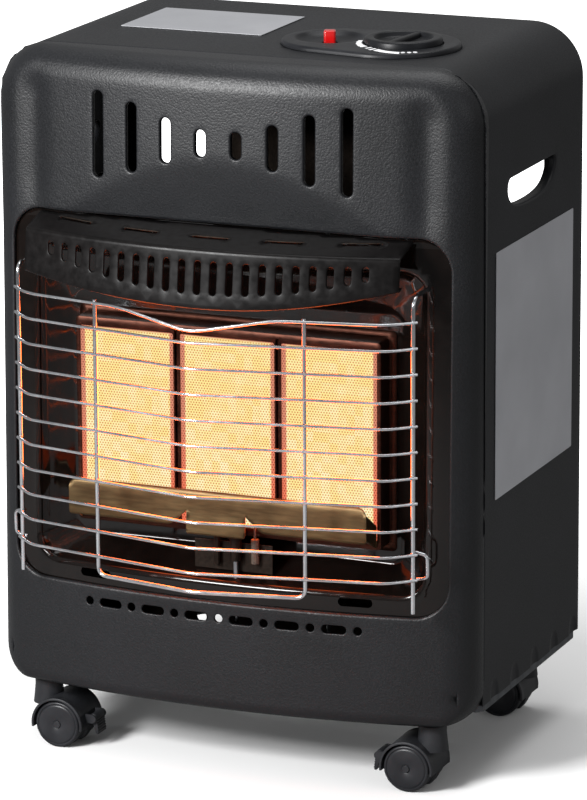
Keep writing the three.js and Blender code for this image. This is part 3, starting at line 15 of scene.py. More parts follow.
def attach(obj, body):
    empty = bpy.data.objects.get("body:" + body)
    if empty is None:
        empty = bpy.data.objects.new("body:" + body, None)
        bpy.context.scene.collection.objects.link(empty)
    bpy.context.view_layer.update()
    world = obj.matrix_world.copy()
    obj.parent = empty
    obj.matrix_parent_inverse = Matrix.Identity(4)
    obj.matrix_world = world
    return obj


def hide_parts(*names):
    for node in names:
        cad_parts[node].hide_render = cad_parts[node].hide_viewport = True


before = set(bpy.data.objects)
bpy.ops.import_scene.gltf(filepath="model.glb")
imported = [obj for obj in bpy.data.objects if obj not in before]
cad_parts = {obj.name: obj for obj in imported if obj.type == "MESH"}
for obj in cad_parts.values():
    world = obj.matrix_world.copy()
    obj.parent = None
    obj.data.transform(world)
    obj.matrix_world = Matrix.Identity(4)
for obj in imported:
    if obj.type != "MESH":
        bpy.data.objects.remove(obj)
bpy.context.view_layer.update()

MM = 0.001
SEAM = np.array([0.0, -62.65, 66.0])

# Cabinet, as the part is drawn
COVER_HALF, COVER_LOW, COVER_TOP = 200.0, -13.0, 495.0
TOP_CORNER, LOW_CORNER, EDGE, LOW_SHARE = 42.0, 28.0, 22.0, 0.2
WRAP_HALF, WRAP_TOP, WRAP_BACK, WRAP_CORNER, WRAP_FRONT = 199.3, 495.0, 222.0, 42.0, 0.4
WINDOW = dict(half=181.0, low=75.5, top=369.5, corner=26.0)
SLOTS = [(14.6, 422.5, 443.5), (43.9, 415.5, 450.5), (73.1, 406.0, 460.0), (102.4, 399.5, 466.5)]
SLOT_WIDTH, VENT_Z, VENT_PITCH, VENT_WIDTH = 8.6, 62.5, 37.5, 6.6
FACET_TOP, FACET_SLOPE = 417.0, 0.2
GROOVE_X, GROOVE_WIDTH, GROOVE_DEPTH = 161.0, 10.6, 3.6

# Fire: the three plaques stand this far apart, their middle at this height
PLAQUE_PITCH, PLAQUE_Z = 84.2, 205.0


# Small geometry helpers


def place(points):
    """Drawing millimetres to row-frame metres."""
    return (np.asarray(points, float) + SEAM) * MM


def smooth_step(low, high, value):
    """0 below low, 1 above high, 3t^2 - 2t^3 between."""
    t = np.clip((value - low) / (high - low), 0, 1)
    return t * t * (3 - 2 * t)


def columns(*values):
    """Points from one number or array for each axis."""
    return np.stack(np.broadcast_arrays(*values), -1).astype(float)


def upright(flat, y):
    """Flat x, z points at depth y."""
    return columns(flat[:, 0], y, flat[:, 1])


def level(flat, z):
    """Flat x, y points at height z."""
    return columns(flat[:, 0], flat[:, 1], z)


def around(sides):
    """Angles of a full turn in even steps."""
    return np.arange(sides) / sides * 2 * np.pi


def sweep(steps, end=90, start=0):
    """Angles from start to end in radians."""
    return np.radians(np.linspace(start, end, steps + 1))


def arc(cx, cy, radius, start, end, steps):
    """Points (cx + r cos a, cy + r sin a) for a from start to end in degrees."""
    a = sweep(steps, end, start)
    return columns(cx + radius * np.cos(a), cy + radius * np.sin(a))


def rounded_box(x0, y0, x1, y1, radius, steps=6):
    """Rectangle whose four corners are quarter circles, anticlockwise."""
    return np.concatenate([
        arc(x1 - radius, y0 + radius, radius, -90, 0, steps),
        arc(x1 - radius, y1 - radius, radius, 0, 90, steps),
        arc(x0 + radius, y1 - radius, radius, 90, 180, steps),
        arc(x0 + radius, y0 + radius, radius, 180, 270, steps),
    ])


def counted_box(half, low, top, low_r, high_r, low_steps, high_steps, side_points, level_points):
    """Upright rectangle with quarter-circle corners whose point counts stay the same at every size."""
    side = np.linspace(0, 1, side_points + 2)[1:-1]
    across = np.linspace(0, 1, level_points + 2)[1:-1]
    right = columns(half, low + low_r + (top - high_r - low - low_r) * side)
    return np.concatenate([
        arc(half - low_r, low + low_r, low_r, -90, 0, low_steps), right,
        arc(half - high_r, top - high_r, high_r, 0, 90, high_steps),
        columns((half - high_r) * (1 - 2 * across), top),
        arc(high_r - half, top - high_r, high_r, 90, 180, high_steps), right[::-1] * [-1, 1],
        arc(low_r - half, low + low_r, low_r, 180, 270, low_steps),
        columns((half - low_r) * (2 * across - 1), low),
    ])


def stadium(cx, cy, length, width, stands, steps=9):
    """Two half circles joined by straight sides."""
    r, half = width / 2, (length - width) / 2
    if stands:
        return np.concatenate([arc(cx, cy + half, r, 0, 180, steps),
                               arc(cx, cy - half, r, 180, 360, steps)])
    return np.concatenate([arc(cx + half, cy, r, -90, 90, steps), arc(cx - half, cy, r, 90, 270, steps)])


def circle(cx, cy, radius, steps=32):
    """Closed circle without its repeated last point."""
    return arc(cx, cy, radius, 0, 360, steps)[:-1]


def grown(loop, grow):
    """Loop scaled about its middle so that its sides move out by grow."""
    middle, size = (loop.min(0) + loop.max(0)) / 2, (loop.max(0) - loop.min(0)) / 2
    return middle + (loop - middle) * (1 + grow / size)


def split_long(loop, spacing):
    """The closed loop with every side longer than spacing cut into even parts."""
    step = np.roll(loop, -1, axis=0) - loop
    count = np.maximum(1, np.ceil(np.linalg.norm(step, axis=1) / spacing).astype(int))
    share = np.concatenate([np.arange(n) / n for n in count])
    return np.repeat(loop, count, axis=0) + np.repeat(step, count, axis=0) * share[:, None]


def bezier(*controls, steps):
    """Sum of C(n, k) (1 - t)^(n - k) t^k p_k over the control points, without its last point."""
    t, n = np.linspace(0, 1, steps + 1)[:-1, None], len(controls) - 1
    return sum(math.comb(n, k) * (1 - t) ** (n - k) * t**k * np.array(p, float)
               for k, p in enumerate(controls))


def bent(corners, reach, steps=6, closed=False):
    """Straight runs between corner points; each corner is a quadratic curve that starts reach before
    it."""
    corners = np.asarray(corners, float)
    reach = np.broadcast_to(np.asarray(reach, float), len(corners))[:, None]
    before, after = (np.roll(corners, turn, axis=0) - corners for turn in (1, -1))
    start = (corners + before / np.linalg.norm(before, axis=1)[:, None] * reach)[:, None]
    end = (corners + after / np.linalg.norm(after, axis=1)[:, None] * reach)[:, None]
    t = np.linspace(0, 1, steps + 1)[None, :, None]
    curve = start * (1 - t) ** 2 + corners[:, None] * 2 * t * (1 - t) + end * t**2
    if closed:
        return curve.reshape(-1, corners.shape[1])
    return np.concatenate([corners[:1], curve[1:-1].reshape(-1, corners.shape[1]), corners[-1:]])


def inside(points, loop):
    """True where a ray to +x from the point crosses the loop an odd number of times."""
    x, y = points[:, :1], points[:, 1:]
    a, b = loop, np.roll(loop, -1, axis=0)
    spans = (a[:, 1] > y) != (b[:, 1] > y)
    rise = np.where(b[:, 1] == a[:, 1], 1.0, b[:, 1] - a[:, 1])
    crossing = a[:, 0] + (y - a[:, 1]) * (b[:, 0] - a[:, 0]) / rise
    return (spans & (x < crossing)).sum(1) % 2 == 1


def grid_faces(rows, points, wrap_rows=False, wrap_points=False):
    """Quads of a grid whose point (i, j) is number i * points + j."""
    i = np.arange(rows if wrap_rows else rows - 1)[:, None]
    j = np.arange(points if wrap_points else points - 1)[None, :]
    k, m = (i + 1) % rows, (j + 1) % points
    quads = np.broadcast_arrays(i * points + j, i * points + m, k * points + m, k * points + j)
    return np.stack(quads, -1).reshape(-1, 4)


def skin(rings, round_ring=True, round_run=False, caps=False):
    """Surface through points rings[i, j]; caps closes both ends with the end rings as faces."""
    rings = np.asarray(rings, float)
    rows, points = rings.shape[:2]
    faces = [grid_faces(rows, points, round_run, round_ring)]
    if caps:
        faces += [np.arange(points)[None, ::-1], (rows - 1) * points + np.arange(points)[None]]
    return rings.reshape(-1, 3), faces


def together(*shapes):
    """Several (points, faces) shapes as one."""
    points, faces, start = [], [], 0
    for some_points, some_faces in shapes:
        points.append(some_points)
        faces += [f + start for f in some_faces]
        start += len(some_points)
    return np.concatenate(points), faces


def wire(path, radius, up, sides=14):
    """Circle of that radius carried along path. A ring lies across the path, in the directions square to
    it."""
    path = np.asarray(path, float)
    along = np.gradient(path, axis=0)
    along /= np.linalg.norm(along, axis=1)[:, None]
    across = np.cross(np.broadcast_to(np.asarray(up, float), path.shape), along)
    across /= np.linalg.norm(across, axis=1)[:, None]
    third = np.cross(along, across)
    a = around(sides)
    size = np.broadcast_to(np.asarray(radius, float), len(path))[:, None, None]
    ring = np.cos(a)[None, :, None] * across[:, None] + np.sin(a)[None, :, None] * third[:, None]
    return skin(path[:, None] + size * ring, caps=True)


def turned(profile, x, y, sides=48):
    """Profile of (radius, z) carried round the upright axis at x, y."""
    profile, a = np.asarray(profile, float), around(sides)
    r = profile[:, :1]
    return skin(columns(x + r * np.cos(a), y + r * np.sin(a), profile[:, 1:]))


def across_y(shape, x, y, z):
    """Shape turned so that its upright axis runs along Y, then set at x, y, z."""
    points, faces = shape
    return points[:, [0, 2, 1]] + [x, y, z], [f[:, ::-1] for f in faces]


def pierced(outline, holes, spacing, zones=()):
    """Flat plate inside outline less holes: lattice points at spacing, finer in zones (x0, y0, x1, y1,
    spacing), joined by Delaunay triangles that keep every loop. Returns the points and the triangles."""
    near_edge, block = 0.45, 500
    edge = np.concatenate([outline, *holes])
    fields = [(*outline.min(0), *outline.max(0), spacing), *zones]
    chosen = []
    for number, (x0, y0, x1, y1, step) in enumerate(fields):
        u, v = np.meshgrid(np.arange(x0 + step / 2, x1, step), np.arange(y0 + step / 2, y1, step))
        lattice = columns(u.ravel(), v.ravel())
        keep = inside(lattice, outline)
        for hole in holes:
            keep &= ~inside(lattice, hole)
        for zx0, zy0, zx1, zy1, _ in fields[number + 1:]:
            keep &= ~np.all((lattice > [zx0, zy0]) & (lattice < [zx1, zy1]), axis=1)
        lattice = lattice[keep]
        gap = np.concatenate([
            np.min(np.linalg.norm(part[:, None] - edge[None], axis=2), axis=1)
            for part in np.array_split(lattice, max(1, len(lattice) // block))
        ])
        chosen.append(lattice[gap > near_edge * step])
    points = np.concatenate([edge, *chosen])
    sizes = [len(outline), *[len(hole) for hole in holes]]
    starts = np.cumsum([0, *sizes[:-1]])
    edges = np.concatenate([
        np.stack([start + np.arange(n), start + (np.arange(n) + 1) % n], 1)
        for start, n in zip(starts, sizes)
    ])
    found = delaunay_2d_cdt([Vector(p) for p in points.tolist()], edges.tolist(), [], 0, 1e-7, False)
    flat = np.array([tuple(p) for p in found[0]])
    triangles = np.array([tuple(t) for t in found[2]])
    middle = flat[triangles].mean(1)
    keep = inside(middle, outline)
    for hole in holes:
        keep &= ~inside(middle, hole)
    return flat, triangles[keep]


def rim(loop_at, lift, radius, depth, steps=5):
    """Edge rolled into a hole: rings grow inwards by r sin a and sink by r (1 - cos a), then run straight
    to depth. loop_at(g) is the hole grown by g, and lift(points, sink) places flat points that far under
    the face."""
    a = sweep(steps)
    grow = np.append(radius * (1 - np.sin(a)), 0.0)
    sink = np.append(radius * (1 - np.cos(a)), depth)
    return skin([lift(loop_at(g), s) for g, s in zip(grow, sink)])


def make_piece(name, shape, material, body="cabinet", stands_for=(), facing=None, crease=38.0,
               thick=0.0, uv=None):
    """Mesh piece from (points, faces) in drawing millimetres. facing "out" turns a closed shape outwards,
    a vector turns a sheet to face it; thick gives a sheet that wall behind its face."""
    points, faces = shape
    mesh = bpy.data.meshes.new(name)
    loops = np.concatenate([f.ravel() for f in faces])
    sizes = np.concatenate([np.full(len(f), f.shape[1]) for f in faces])
    mesh.vertices.add(len(points))
    mesh.vertices.foreach_set("co", place(points).ravel())
    mesh.loops.add(len(loops))
    mesh.loops.foreach_set("vertex_index", loops.astype(np.int32))
    mesh.polygons.add(len(sizes))
    mesh.polygons.foreach_set("loop_start", (np.cumsum(sizes) - sizes).astype(np.int32))
    mesh.update(calc_edges=True)
    mesh.validate()
    work = bmesh.new()
    work.from_mesh(mesh)
    bmesh.ops.remove_doubles(work, verts=work.verts, dist=0.02 * MM)
    if facing is not None:
        bmesh.ops.recalc_face_normals(work, faces=work.faces)
    if facing is not None and not isinstance(facing, str):
        total = np.sum([np.array(f.normal) * f.calc_area() for f in work.faces], axis=0)
        if np.dot(total, facing) < 0:
            bmesh.ops.reverse_faces(work, faces=work.faces)
    work.to_mesh(mesh)
    work.free()
    mesh.polygons.foreach_set("use_smooth", np.ones(len(mesh.polygons), bool))
    mesh.set_sharp_from_angle(angle=math.radians(crease))
    if uv is not None:
        corner = np.empty(len(mesh.loops), np.int32)
        mesh.loops.foreach_get("vertex_index", corner)
        where = np.empty(len(mesh.vertices) * 3)
        mesh.vertices.foreach_get("co", where)
        mesh.uv_layers.new(name="UVMap").data.foreach_set("uv", uv(where.reshape(-1, 3)[corner]).ravel())
    piece = bpy.data.objects.new(name, mesh)
    bpy.context.scene.collection.objects.link(piece)
    mesh.materials.append(material)
    if thick:
        wall = piece.modifiers.new("wall", "SOLIDIFY")
        wall.thickness = thick * MM
        wall.offset = -1
        wall.use_quality_normals = True
    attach(piece, body)
    if stands_for:
        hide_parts(*stands_for)
    return piece


# Materials


def colour(code):
    """sRGB hex to linear RGBA."""
    value = np.array([int(code[i:i + 2], 16) for i in (1, 3, 5)]) / 255
    linear = np.where(value <= 0.04045, value / 12.92, ((value + 0.055) / 1.055) ** 2.4)
    return (*linear.tolist(), 1.0)


def add(tree, kind, inputs=None, stops=(), **settings):
    """Adds a node with its settings; inputs gives each socket a value or the output that feeds it, and
    stops are the places and hex colours of a colour ramp."""
    made = tree.nodes.new("ShaderNode" + kind)
    for key, value in settings.items():
        setattr(made, key, value)
    for key, value in (inputs or {}).items():
        if isinstance(value, bpy.types.NodeSocket):
            tree.links.new(value, made.inputs[key])
        else:
            made.inputs[key].default_value = value
    for number, (position, code) in enumerate(stops):
        element = made.color_ramp.elements[number]
        element.position, element.color = position, colour(code)
    return made


def new_material(name, **shader):
    """Material with a Principled shader whose constant sockets are given; returns it, its tree, the
    shader and the object coordinates."""
    material = bpy.data.materials.new(name)
    material.use_nodes = True
    tree = material.node_tree
    principled = tree.nodes["Principled BSDF"]
    for key, value in shader.items():
        principled.inputs[key.replace("_", " ")].default_value = value
    return material, tree, principled, add(tree, "TexCoord").outputs["Object"]


def dress(tree, principled, tint, tones, wear, rough, relief, height, strength=1.0):
    """Feeds the shader: tint picks between two tones, wear moves the roughness from rough[0] to rough[1],
    and relief raises the surface by height in millimetres."""
    tone = add(tree, "ValToRGB", {"Fac": tint}, tones)
    spread = add(tree, "MapRange", {"Value": wear, "From Min": 0.3, "From Max": 0.7,
                                    "To Min": rough[0], "To Max": rough[1]})
    bump = add(tree, "Bump", {"Height": relief, "Strength": strength, "Distance": height * MM})
    for made, socket in ((tone, "Base Color"), (spread, "Roughness"), (bump, "Normal")):
        tree.links.new(made.outputs[0], principled.inputs[socket])


def baked_coat(name, base, light, roughness, peel, grain_mm, **shader):
    """Coat baked or fired on: base colour drifting to light in soft clouds, orange peel of grain_mm,
    height peel."""
    material, tree, principled, where = new_material(name, **shader)
    cloud = add(tree, "TexNoise", {"Vector": where, "Scale": 14.0, "Detail": 3.0}).outputs["Fac"]
    fine = add(tree, "TexNoise", {"Vector": where, "Scale": 1 / (grain_mm * MM),
                                  "Detail": 2.0}).outputs["Fac"]
    both = add(tree, "Math", {0: cloud, 1: fine}, operation="ADD").outputs[0]
    half = add(tree, "Math", {0: both, 1: 0.5}, operation="MULTIPLY").outputs[0]
    dress(tree, principled, half, [(0.36, base), (0.66, light)], fine,
          (roughness - 0.06, roughness + 0.07), fine, peel)
    return material


def worked_metal(name, base, light, roughness, grain_mm, stretch=(1, 1, 1), scratch=0.02):
    """Bare or plated metal: two tones in a grain stretched along the working direction, with fine
    scratches."""
    material, tree, principled, where = new_material(name, Metallic=1.0)
    scaled = add(tree, "Mapping", {"Vector": where, "Scale": stretch}).outputs[0]
    grain = add(tree, "TexNoise", {"Vector": scaled, "Scale": 1 / (grain_mm * MM),
                                   "Detail": 4.0}).outputs["Fac"]
    cloud = add(tree, "TexNoise", {"Vector": where, "Scale": 30.0, "Detail": 2.0}).outputs["Fac"]
    mixed = add(tree, "Math", {0: grain, 1: cloud}, operation="MULTIPLY").outputs[0]
    rough = roughness - 0.05, roughness + 0.08
    dress(tree, principled, mixed, [(0.12, base), (0.42, light)], cloud, rough, grain, scratch)
    return material


def moulded_plastic(name, base, light, roughness, grain_mm, spark, **shader):
    """Injection moulded plastic: spark-eroded grain of grain_mm with height spark, slight colour
    drift."""
    material, tree, principled, where = new_material(name, IOR=1.5, **shader)
    grain = add(tree, "TexVoronoi", {"Vector": where, "Scale": 1 / (grain_mm * MM)}, feature="SMOOTH_F1")
    cloud = add(tree, "TexNoise", {"Vector": where, "Scale": 60.0, "Detail": 3.0}).outputs["Fac"]
    dress(tree, principled, cloud, [(0.35, base), (0.65, light)], cloud,
          (roughness - 0.05, roughness + 0.05), grain.outputs["Distance"], spark, 0.7)
    return material


# Epoxy powder coat baked on pressed steel: leathery grain that breaks the lights up into a soft sheen
POWDER = baked_coat("powder_coat_front", "#101113", "#17181b", 0.43, 0.26, 1.5, Specular_IOR_Level=0.34)
# The same coat on the folded sheet of the sides and top, thinner and smoother
POWDER_WRAP = baked_coat("powder_coat_wrap", "#151618", "#1d1e21", 0.46, 0.12, 1.2,
                         Specular_IOR_Level=0.18)
# Vitreous enamel fired on the visor: near black with a brown cast, dulled by the heat that rises past it
ENAMEL = baked_coat("vitreous_enamel", "#0a0909", "#0f0d0d", 0.34, 0.03, 6.0, Specular_IOR_Level=0.15)
# The same enamel in the pan, where the fire keeps it clean: it mirrors the plaques in orange streaks
ENAMEL_PAN = baked_coat("vitreous_enamel_pan", "#0a0706", "#100b09", 0.09, 0.02, 11.0,
                        Specular_IOR_Level=0.32)
# Nickel chrome plate on drawn wire: bright mirror with faint drawing lines
CHROME = worked_metal("chrome_plated_wire", "#c4c6ca", "#e2e4e8", 0.16, 3.0, (1, 1, 0.2), 0.01)
# Stainless sheet next to the fire, tempered to rose and brown by the heat
TEMPERED = worked_metal("heat_tinted_stainless", "#2b1a15", "#4c3027", 0.42, 2.0, (0.3, 1, 1), 0.02)
# Aluminised steel shield, baked olive brown over the flame
SHIELD = worked_metal("baked_aluminised_steel", "#4d3f2c", "#6b5a40", 0.46, 2.4, (0.15, 1, 1), 0.03)
# Hot dip galvanised sheet: dull grey with a broad crystal spangle
GALVANISED = worked_metal("galvanised_sheet", "#4c4e51", "#6c6f72", 0.5, 9.0)
# Sheet of the burners, the inner plate and the visor's lips, black from scale and soot
SCALED = worked_metal("scaled_sheet_steel", "#211d1a", "#37302b", 0.6, 3.0, scratch=0.04)
# Bright zinc plate on turned steel
ZINC = worked_metal("bright_zinc_plate", "#85878b", "#b0b2b6", 0.28, 1.2, (1, 1, 0.3))
# Turned brass of the gas fittings
BRASS = worked_metal("turned_brass", "#a9823c", "#d8b468", 0.28, 1.0, (1, 0.25, 1))
# Die-cast aluminium with the grain of the shot blast
CAST = worked_metal("shot_blasted_die_casting", "#6d6f72", "#8d9093", 0.5, 0.9, scratch=0.06)
# Drawn aluminium tube of the gas pipes
TUBE = worked_metal("drawn_aluminium_tube", "#85888b", "#aeb1b4", 0.3, 1.5, (1, 1, 0.15))
# Glazed porcelain of the spark electrode, browned by the fire
PORCELAIN = baked_coat("glazed_porcelain", "#3d332b", "#54483d", 0.3, 0.02, 3.0, IOR=1.5, Coat_Weight=0.3)
# Glass-filled nylon of the control panel: satin with a fine spark-eroded grain
PANEL = moulded_plastic("glass_filled_nylon_panel", "#151619", "#1c1d20", 0.40, 0.7, 0.03,
                        Specular_IOR_Level=0.2)
# Phenolic knob, a little deeper and glossier
KNOB = moulded_plastic("phenolic_knob", "#101113", "#17181b", 0.38, 0.6, 0.02, Specular_IOR_Level=0.18)
# Gloss moulded push button
RED = moulded_plastic("gloss_red_abs", "#9c0808", "#b80d0d", 0.18, 1.2, 0.01, Coat_Weight=0.4,
                      Coat_Roughness=0.08)
# Polypropylene castor housings, grained, and their smoother wheels
HOUSING = moulded_plastic("grained_polypropylene", "#1e1f22", "#27282b", 0.46, 0.9, 0.05,
                          Specular_IOR_Level=0.3)
WHEEL = moulded_plastic("smooth_polypropylene_wheel", "#1f2023", "#28292c", 0.36, 1.4, 0.02,
                        Specular_IOR_Level=0.3)
# Pad printing ink on the panel
INK = moulded_plastic("white_pad_print", "#e8e8ea", "#f6f6f8", 0.5, 0.4, 0.01)
# Metallised polyester plates, left bare
FOIL = baked_coat("metallised_polyester_plate", "#a7a8ad", "#bcbdc2", 0.36, 0.02, 0.8, Metallic=0.3)
FOIL_GREY = baked_coat("grey_printed_plate", "#8f9094", "#a2a3a7", 0.45, 0.02, 0.8, Metallic=0.1)


def glowing_ceramic():
    """Cordierite plaque pressed with a hexagonal field of flame holes 2.28 mm apart: each land burns pale
    yellow and each hole amber, in soft blocks of three holes. The outer 3 mm are clamped and unlit,
    pinkish above and redder below, with one column of dark holes beside the fire. UV is millimetres from
    its middle."""
    pitch, row, hole_edge, hole_depth = 2.28, 3.94, (0.16, 0.34), 0.3
    lit_x, lit_z, half_height, glow = (35.2, 36.2), (73.2, 74.6), 75.0, 0.97
    material, tree, principled, _ = new_material("glowing_cordierite", Roughness=0.85,
                                                 Specular_IOR_Level=0.1)
    flat = add(tree, "UVMap", uv_map="UVMap").outputs["UV"]
    in_cells = add(tree, "VectorMath", {0: flat, 1: (1 / pitch, 1 / row, 0)}, operation="MULTIPLY")
    nearest = []
    for shift in (0.0, 0.5):
        at = add(tree, "VectorMath", {0: in_cells.outputs[0], 1: (shift, shift, 0)}, operation="ADD")
        part = add(tree, "VectorMath", {0: at.outputs[0]}, operation="FRACTION")
        centred = add(tree, "VectorMath", {0: part.outputs[0], 1: (0.5, 0.5, 0)}, operation="SUBTRACT")
        real = add(tree, "VectorMath", {0: centred.outputs[0], 1: (1, row / pitch, 0)},
                   operation="MULTIPLY")
        nearest.append(add(tree, "VectorMath", {0: real.outputs[0]}, operation="LENGTH").outputs["Value"])
    distance = add(tree, "Math", {0: nearest[0], 1: nearest[1]}, operation="MINIMUM").outputs[0]
    hole = add(tree, "MapRange", {"Value": distance, "From Min": hole_edge[0], "From Max": hole_edge[1],
                                  "To Min": 1.0, "To Max": 0.0},
               interpolation_type="SMOOTHSTEP").outputs[0]
    split, cooled = add(tree, "SeparateXYZ", {0: flat}), []
    for axis, (low, high) in (("X", lit_x), ("Y", lit_z)):
        out = add(tree, "Math", {0: split.outputs[axis]}, operation="ABSOLUTE").outputs[0]
        cooled.append(add(tree, "MapRange", {"Value": out, "From Min": low, "From Max": high},
                          interpolation_type="SMOOTHSTEP").outputs[0])
    cool = add(tree, "Math", {0: cooled[0], 1: cooled[1]}, operation="MAXIMUM").outputs[0]
    height = add(tree, "MapRange", {"Value": split.outputs["Y"], "From Min": -half_height,
                                    "From Max": half_height}).outputs[0]
    blocks = add(tree, "VectorMath", {0: flat, 1: (3 * pitch, 2 * row, 1)}, operation="SNAP").outputs[0]
    patch = add(tree, "TexWhiteNoise", {"Vector": blocks}, noise_dimensions="3D").outputs["Value"]
    drift = add(tree, "TexNoise", {"Vector": flat, "Scale": 0.09, "Detail": 2.0}).outputs["Fac"]
    uneven = add(tree, "Mix", {"Factor": 0.35, "A": drift, "B": patch}, data_type="FLOAT")
    warmth = add(tree, "Math", {0: height, 1: 0.35, 2: uneven.outputs["Result"]},
                 operation="MULTIPLY_ADD").outputs[0]
    burnt = []
    for cool_lit, warm_lit, low_edge, high_edge in (("#fffbcb", "#fdec9c", "#f0795a", "#d98a70"),
                                                    ("#dc8838", "#cf6424", "#a5331c", "#8a4636")):
        inner = add(tree, "ValToRGB", {"Fac": warmth}, [(0.35, cool_lit), (0.85, warm_lit)])
        outer = add(tree, "ValToRGB", {"Fac": height}, [(0.15, low_edge), (0.6, high_edge)])
        burnt.append(add(tree, "Mix", {"Factor": cool, "A": inner.outputs[0], "B": outer.outputs[0]},
                         data_type="RGBA").outputs["Result"])
    lit = add(tree, "Mix", {"Factor": hole, "A": burnt[0], "B": burnt[1]},
              data_type="RGBA").outputs["Result"]
    tree.links.new(lit, principled.inputs["Emission Color"])
    principled.inputs["Emission Strength"].default_value = glow
    principled.inputs["Base Color"].default_value = colour("#2a1a10")
    bump = add(tree, "Bump", {"Height": hole, "Strength": 1.0, "Distance": hole_depth * MM}, invert=True)
    tree.links.new(bump.outputs[0], principled.inputs["Normal"])
    return material


CERAMIC = glowing_ceramic()


# Front cover


def reach(x, z):
    """Distance of the cover's bowed, slightly leaning face ahead of the seam."""
    return 50.9 - 0.0189 * (z - COVER_LOW) - 6.3e-4 * x * x


def facet_y(z):
    """The flat facet over the window falls back from its top by its slope."""
    return -(reach(0.0, FACET_TOP) - 0.5) + FACET_SLOPE * (FACET_TOP - z)


def cover_face(x, z):
    """Y of the face: minus the reach, with an upright trough e^-(d/w)^2 either side of the slots and the
    facet taken as the further of the two surfaces, blended over 1 mm."""
    beside = smooth_step(340, 400, z) * (1 - smooth_step(458, 484, z))
    trough = GROOVE_DEPTH * np.exp(-(((np.abs(x) - GROOVE_X) / GROOVE_WIDTH) ** 2)) * beside
    plain = -reach(x, z) + trough
    difference = facet_y(z) - plain
    blend = 0.5 * (difference + np.sqrt(difference**2 + 0.8))
    return plain + np.where(z < FACET_TOP + 6, blend * smooth_step(365, 366, z), 0)


def cover_loop(inset):
    """Outline of the front at an inset; the lower edge moves in by a fifth of it."""
    return counted_box(COVER_HALF - inset, COVER_LOW + inset * LOW_SHARE, COVER_TOP - inset,
                       LOW_CORNER - inset, TOP_CORNER - inset, 10, 12, 59, 47)


def cover_inset(x, z):
    """How far inside the outline a point of the front lies, in the same rings as cover_loop."""
    ax = np.abs(x)
    inset = np.minimum(np.minimum(COVER_HALF - ax, COVER_TOP - z), (z - COVER_LOW) / LOW_SHARE)
    cx, cz = COVER_HALF - TOP_CORNER, COVER_TOP - TOP_CORNER
    round_top = TOP_CORNER - np.hypot(ax - cx, z - cz)
    inset = np.where((ax > cx) & (z > cz), round_top, inset)
    side = (ax - (COVER_HALF - LOW_CORNER)) ** 2
    rise = z - (COVER_LOW + LOW_CORNER)
    b = 2 * LOW_CORNER + 2 * (1 - LOW_SHARE) * rise
    a = 1 - (1 - LOW_SHARE) ** 2
    c = LOW_CORNER**2 - side - rise**2
    round_low = (b - np.sqrt(np.maximum(b * b - 4 * a * c, 0))) / (2 * a)
    inset = np.where((ax > COVER_HALF - LOW_CORNER) & (rise < 0), np.minimum(round_low, inset), inset)
    return np.clip(inset, 0, EDGE)


def cover_point(flat, sink=0.0):
    """Flat x, z to the cover: the face, rounded back by edge (1 - sin a) where inset = edge (1 - cos
    a)."""
    x, z = flat[:, 0], flat[:, 1]
    cosine = 1 - cover_inset(x, z) / EDGE
    back = EDGE * (1 - np.sqrt(np.maximum(1 - cosine**2, 0)))
    return columns(x, cover_face(x, z) + back + sink, z)


def vent_loops(grow):
    """Lower row: seven round holes with six slots between them."""
    wide = VENT_WIDTH + 2 * grow
    loops = [circle((i - 3) * VENT_PITCH, VENT_Z, wide / 2, 24) for i in range(7)]
    return loops + [stadium((i - 2.5) * VENT_PITCH, VENT_Z, 19.5 + 2 * grow, wide,
                            False) for i in range(6)]


def slot_loops(grow):
    """Upper row: four pairs of upright slots, longer towards the outside."""
    return [
        stadium(sign * x, (low + top) / 2, top - low + 2 * grow, SLOT_WIDTH + 2 * grow, True)
        for x, low, top in SLOTS for sign in (-1, 1)
    ]


def window_loop(grow):
    """The window's loop with the same number of points at every size."""
    half, low, top, corner = WINDOW.values()
    base = split_long(rounded_box(-half, low, half, top, corner, 10), 8)
    nearest = np.clip(base, [corner - half, low + corner], [half - corner, top - corner])
    away = base - nearest
    return base + away / np.linalg.norm(away, axis=1)[:, None] * grow


def front_cover():
    """Bowed face as a pierced lattice, a rounded edge of rings down to the seam, and every hole rolled
    inwards."""
    inner, slot_roll, vent_roll, window_roll = 12.0, 1.6, 0.9, 2.4
    slot_depth, vent_depth, window_depth = 4.0, 2.2, 3.6
    holes = [window_loop(window_roll), *slot_loops(slot_roll), *vent_loops(vent_roll)]
    groove, facet = (-178, 395, 178, 480, 4.0), (-178, 368, 178, 396, 3.0)
    flat, triangles = pierced(cover_loop(inner), holes, 6.0, [groove, facet])
    hem = [upright(cover_loop(inset), y)
           for inset, y in ((5.0, 0.05), (0.7, 0.05), (0.2, -0.1), (0, 0), (0, -1))]
    for angle in sweep(11, math.degrees(math.acos(1 - inner / EDGE))):
        loop = cover_loop(EDGE * (1 - math.cos(angle)))
        hem.append(upright(loop, cover_face(loop[:, 0], loop[:, 1]) + EDGE * (1 - math.sin(angle))))
    shapes = [(cover_point(flat), [triangles]), skin(hem),
              rim(window_loop, cover_point, window_roll, window_depth)]
    for loops, roll, depth in ((slot_loops, slot_roll, slot_depth), (vent_loops, vent_roll, vent_depth)):
        for number in range(len(loops(0))):
            shapes.append(rim(lambda g, n=number, at=loops: at(g)[n], cover_point, roll, depth))
    make_piece("front_cover_pressing", together(*shapes), POWDER,
               stands_for=["front_cover"], facing=(0, -1, 0), crease=40, thick=0.8)


# Wrap

SIDE_RUN = WRAP_TOP - WRAP_CORNER
ARC_RUN = WRAP_CORNER * math.pi / 2
WRAP_RUN = 2 * (SIDE_RUN + ARC_RUN + WRAP_HALF - WRAP_CORNER)


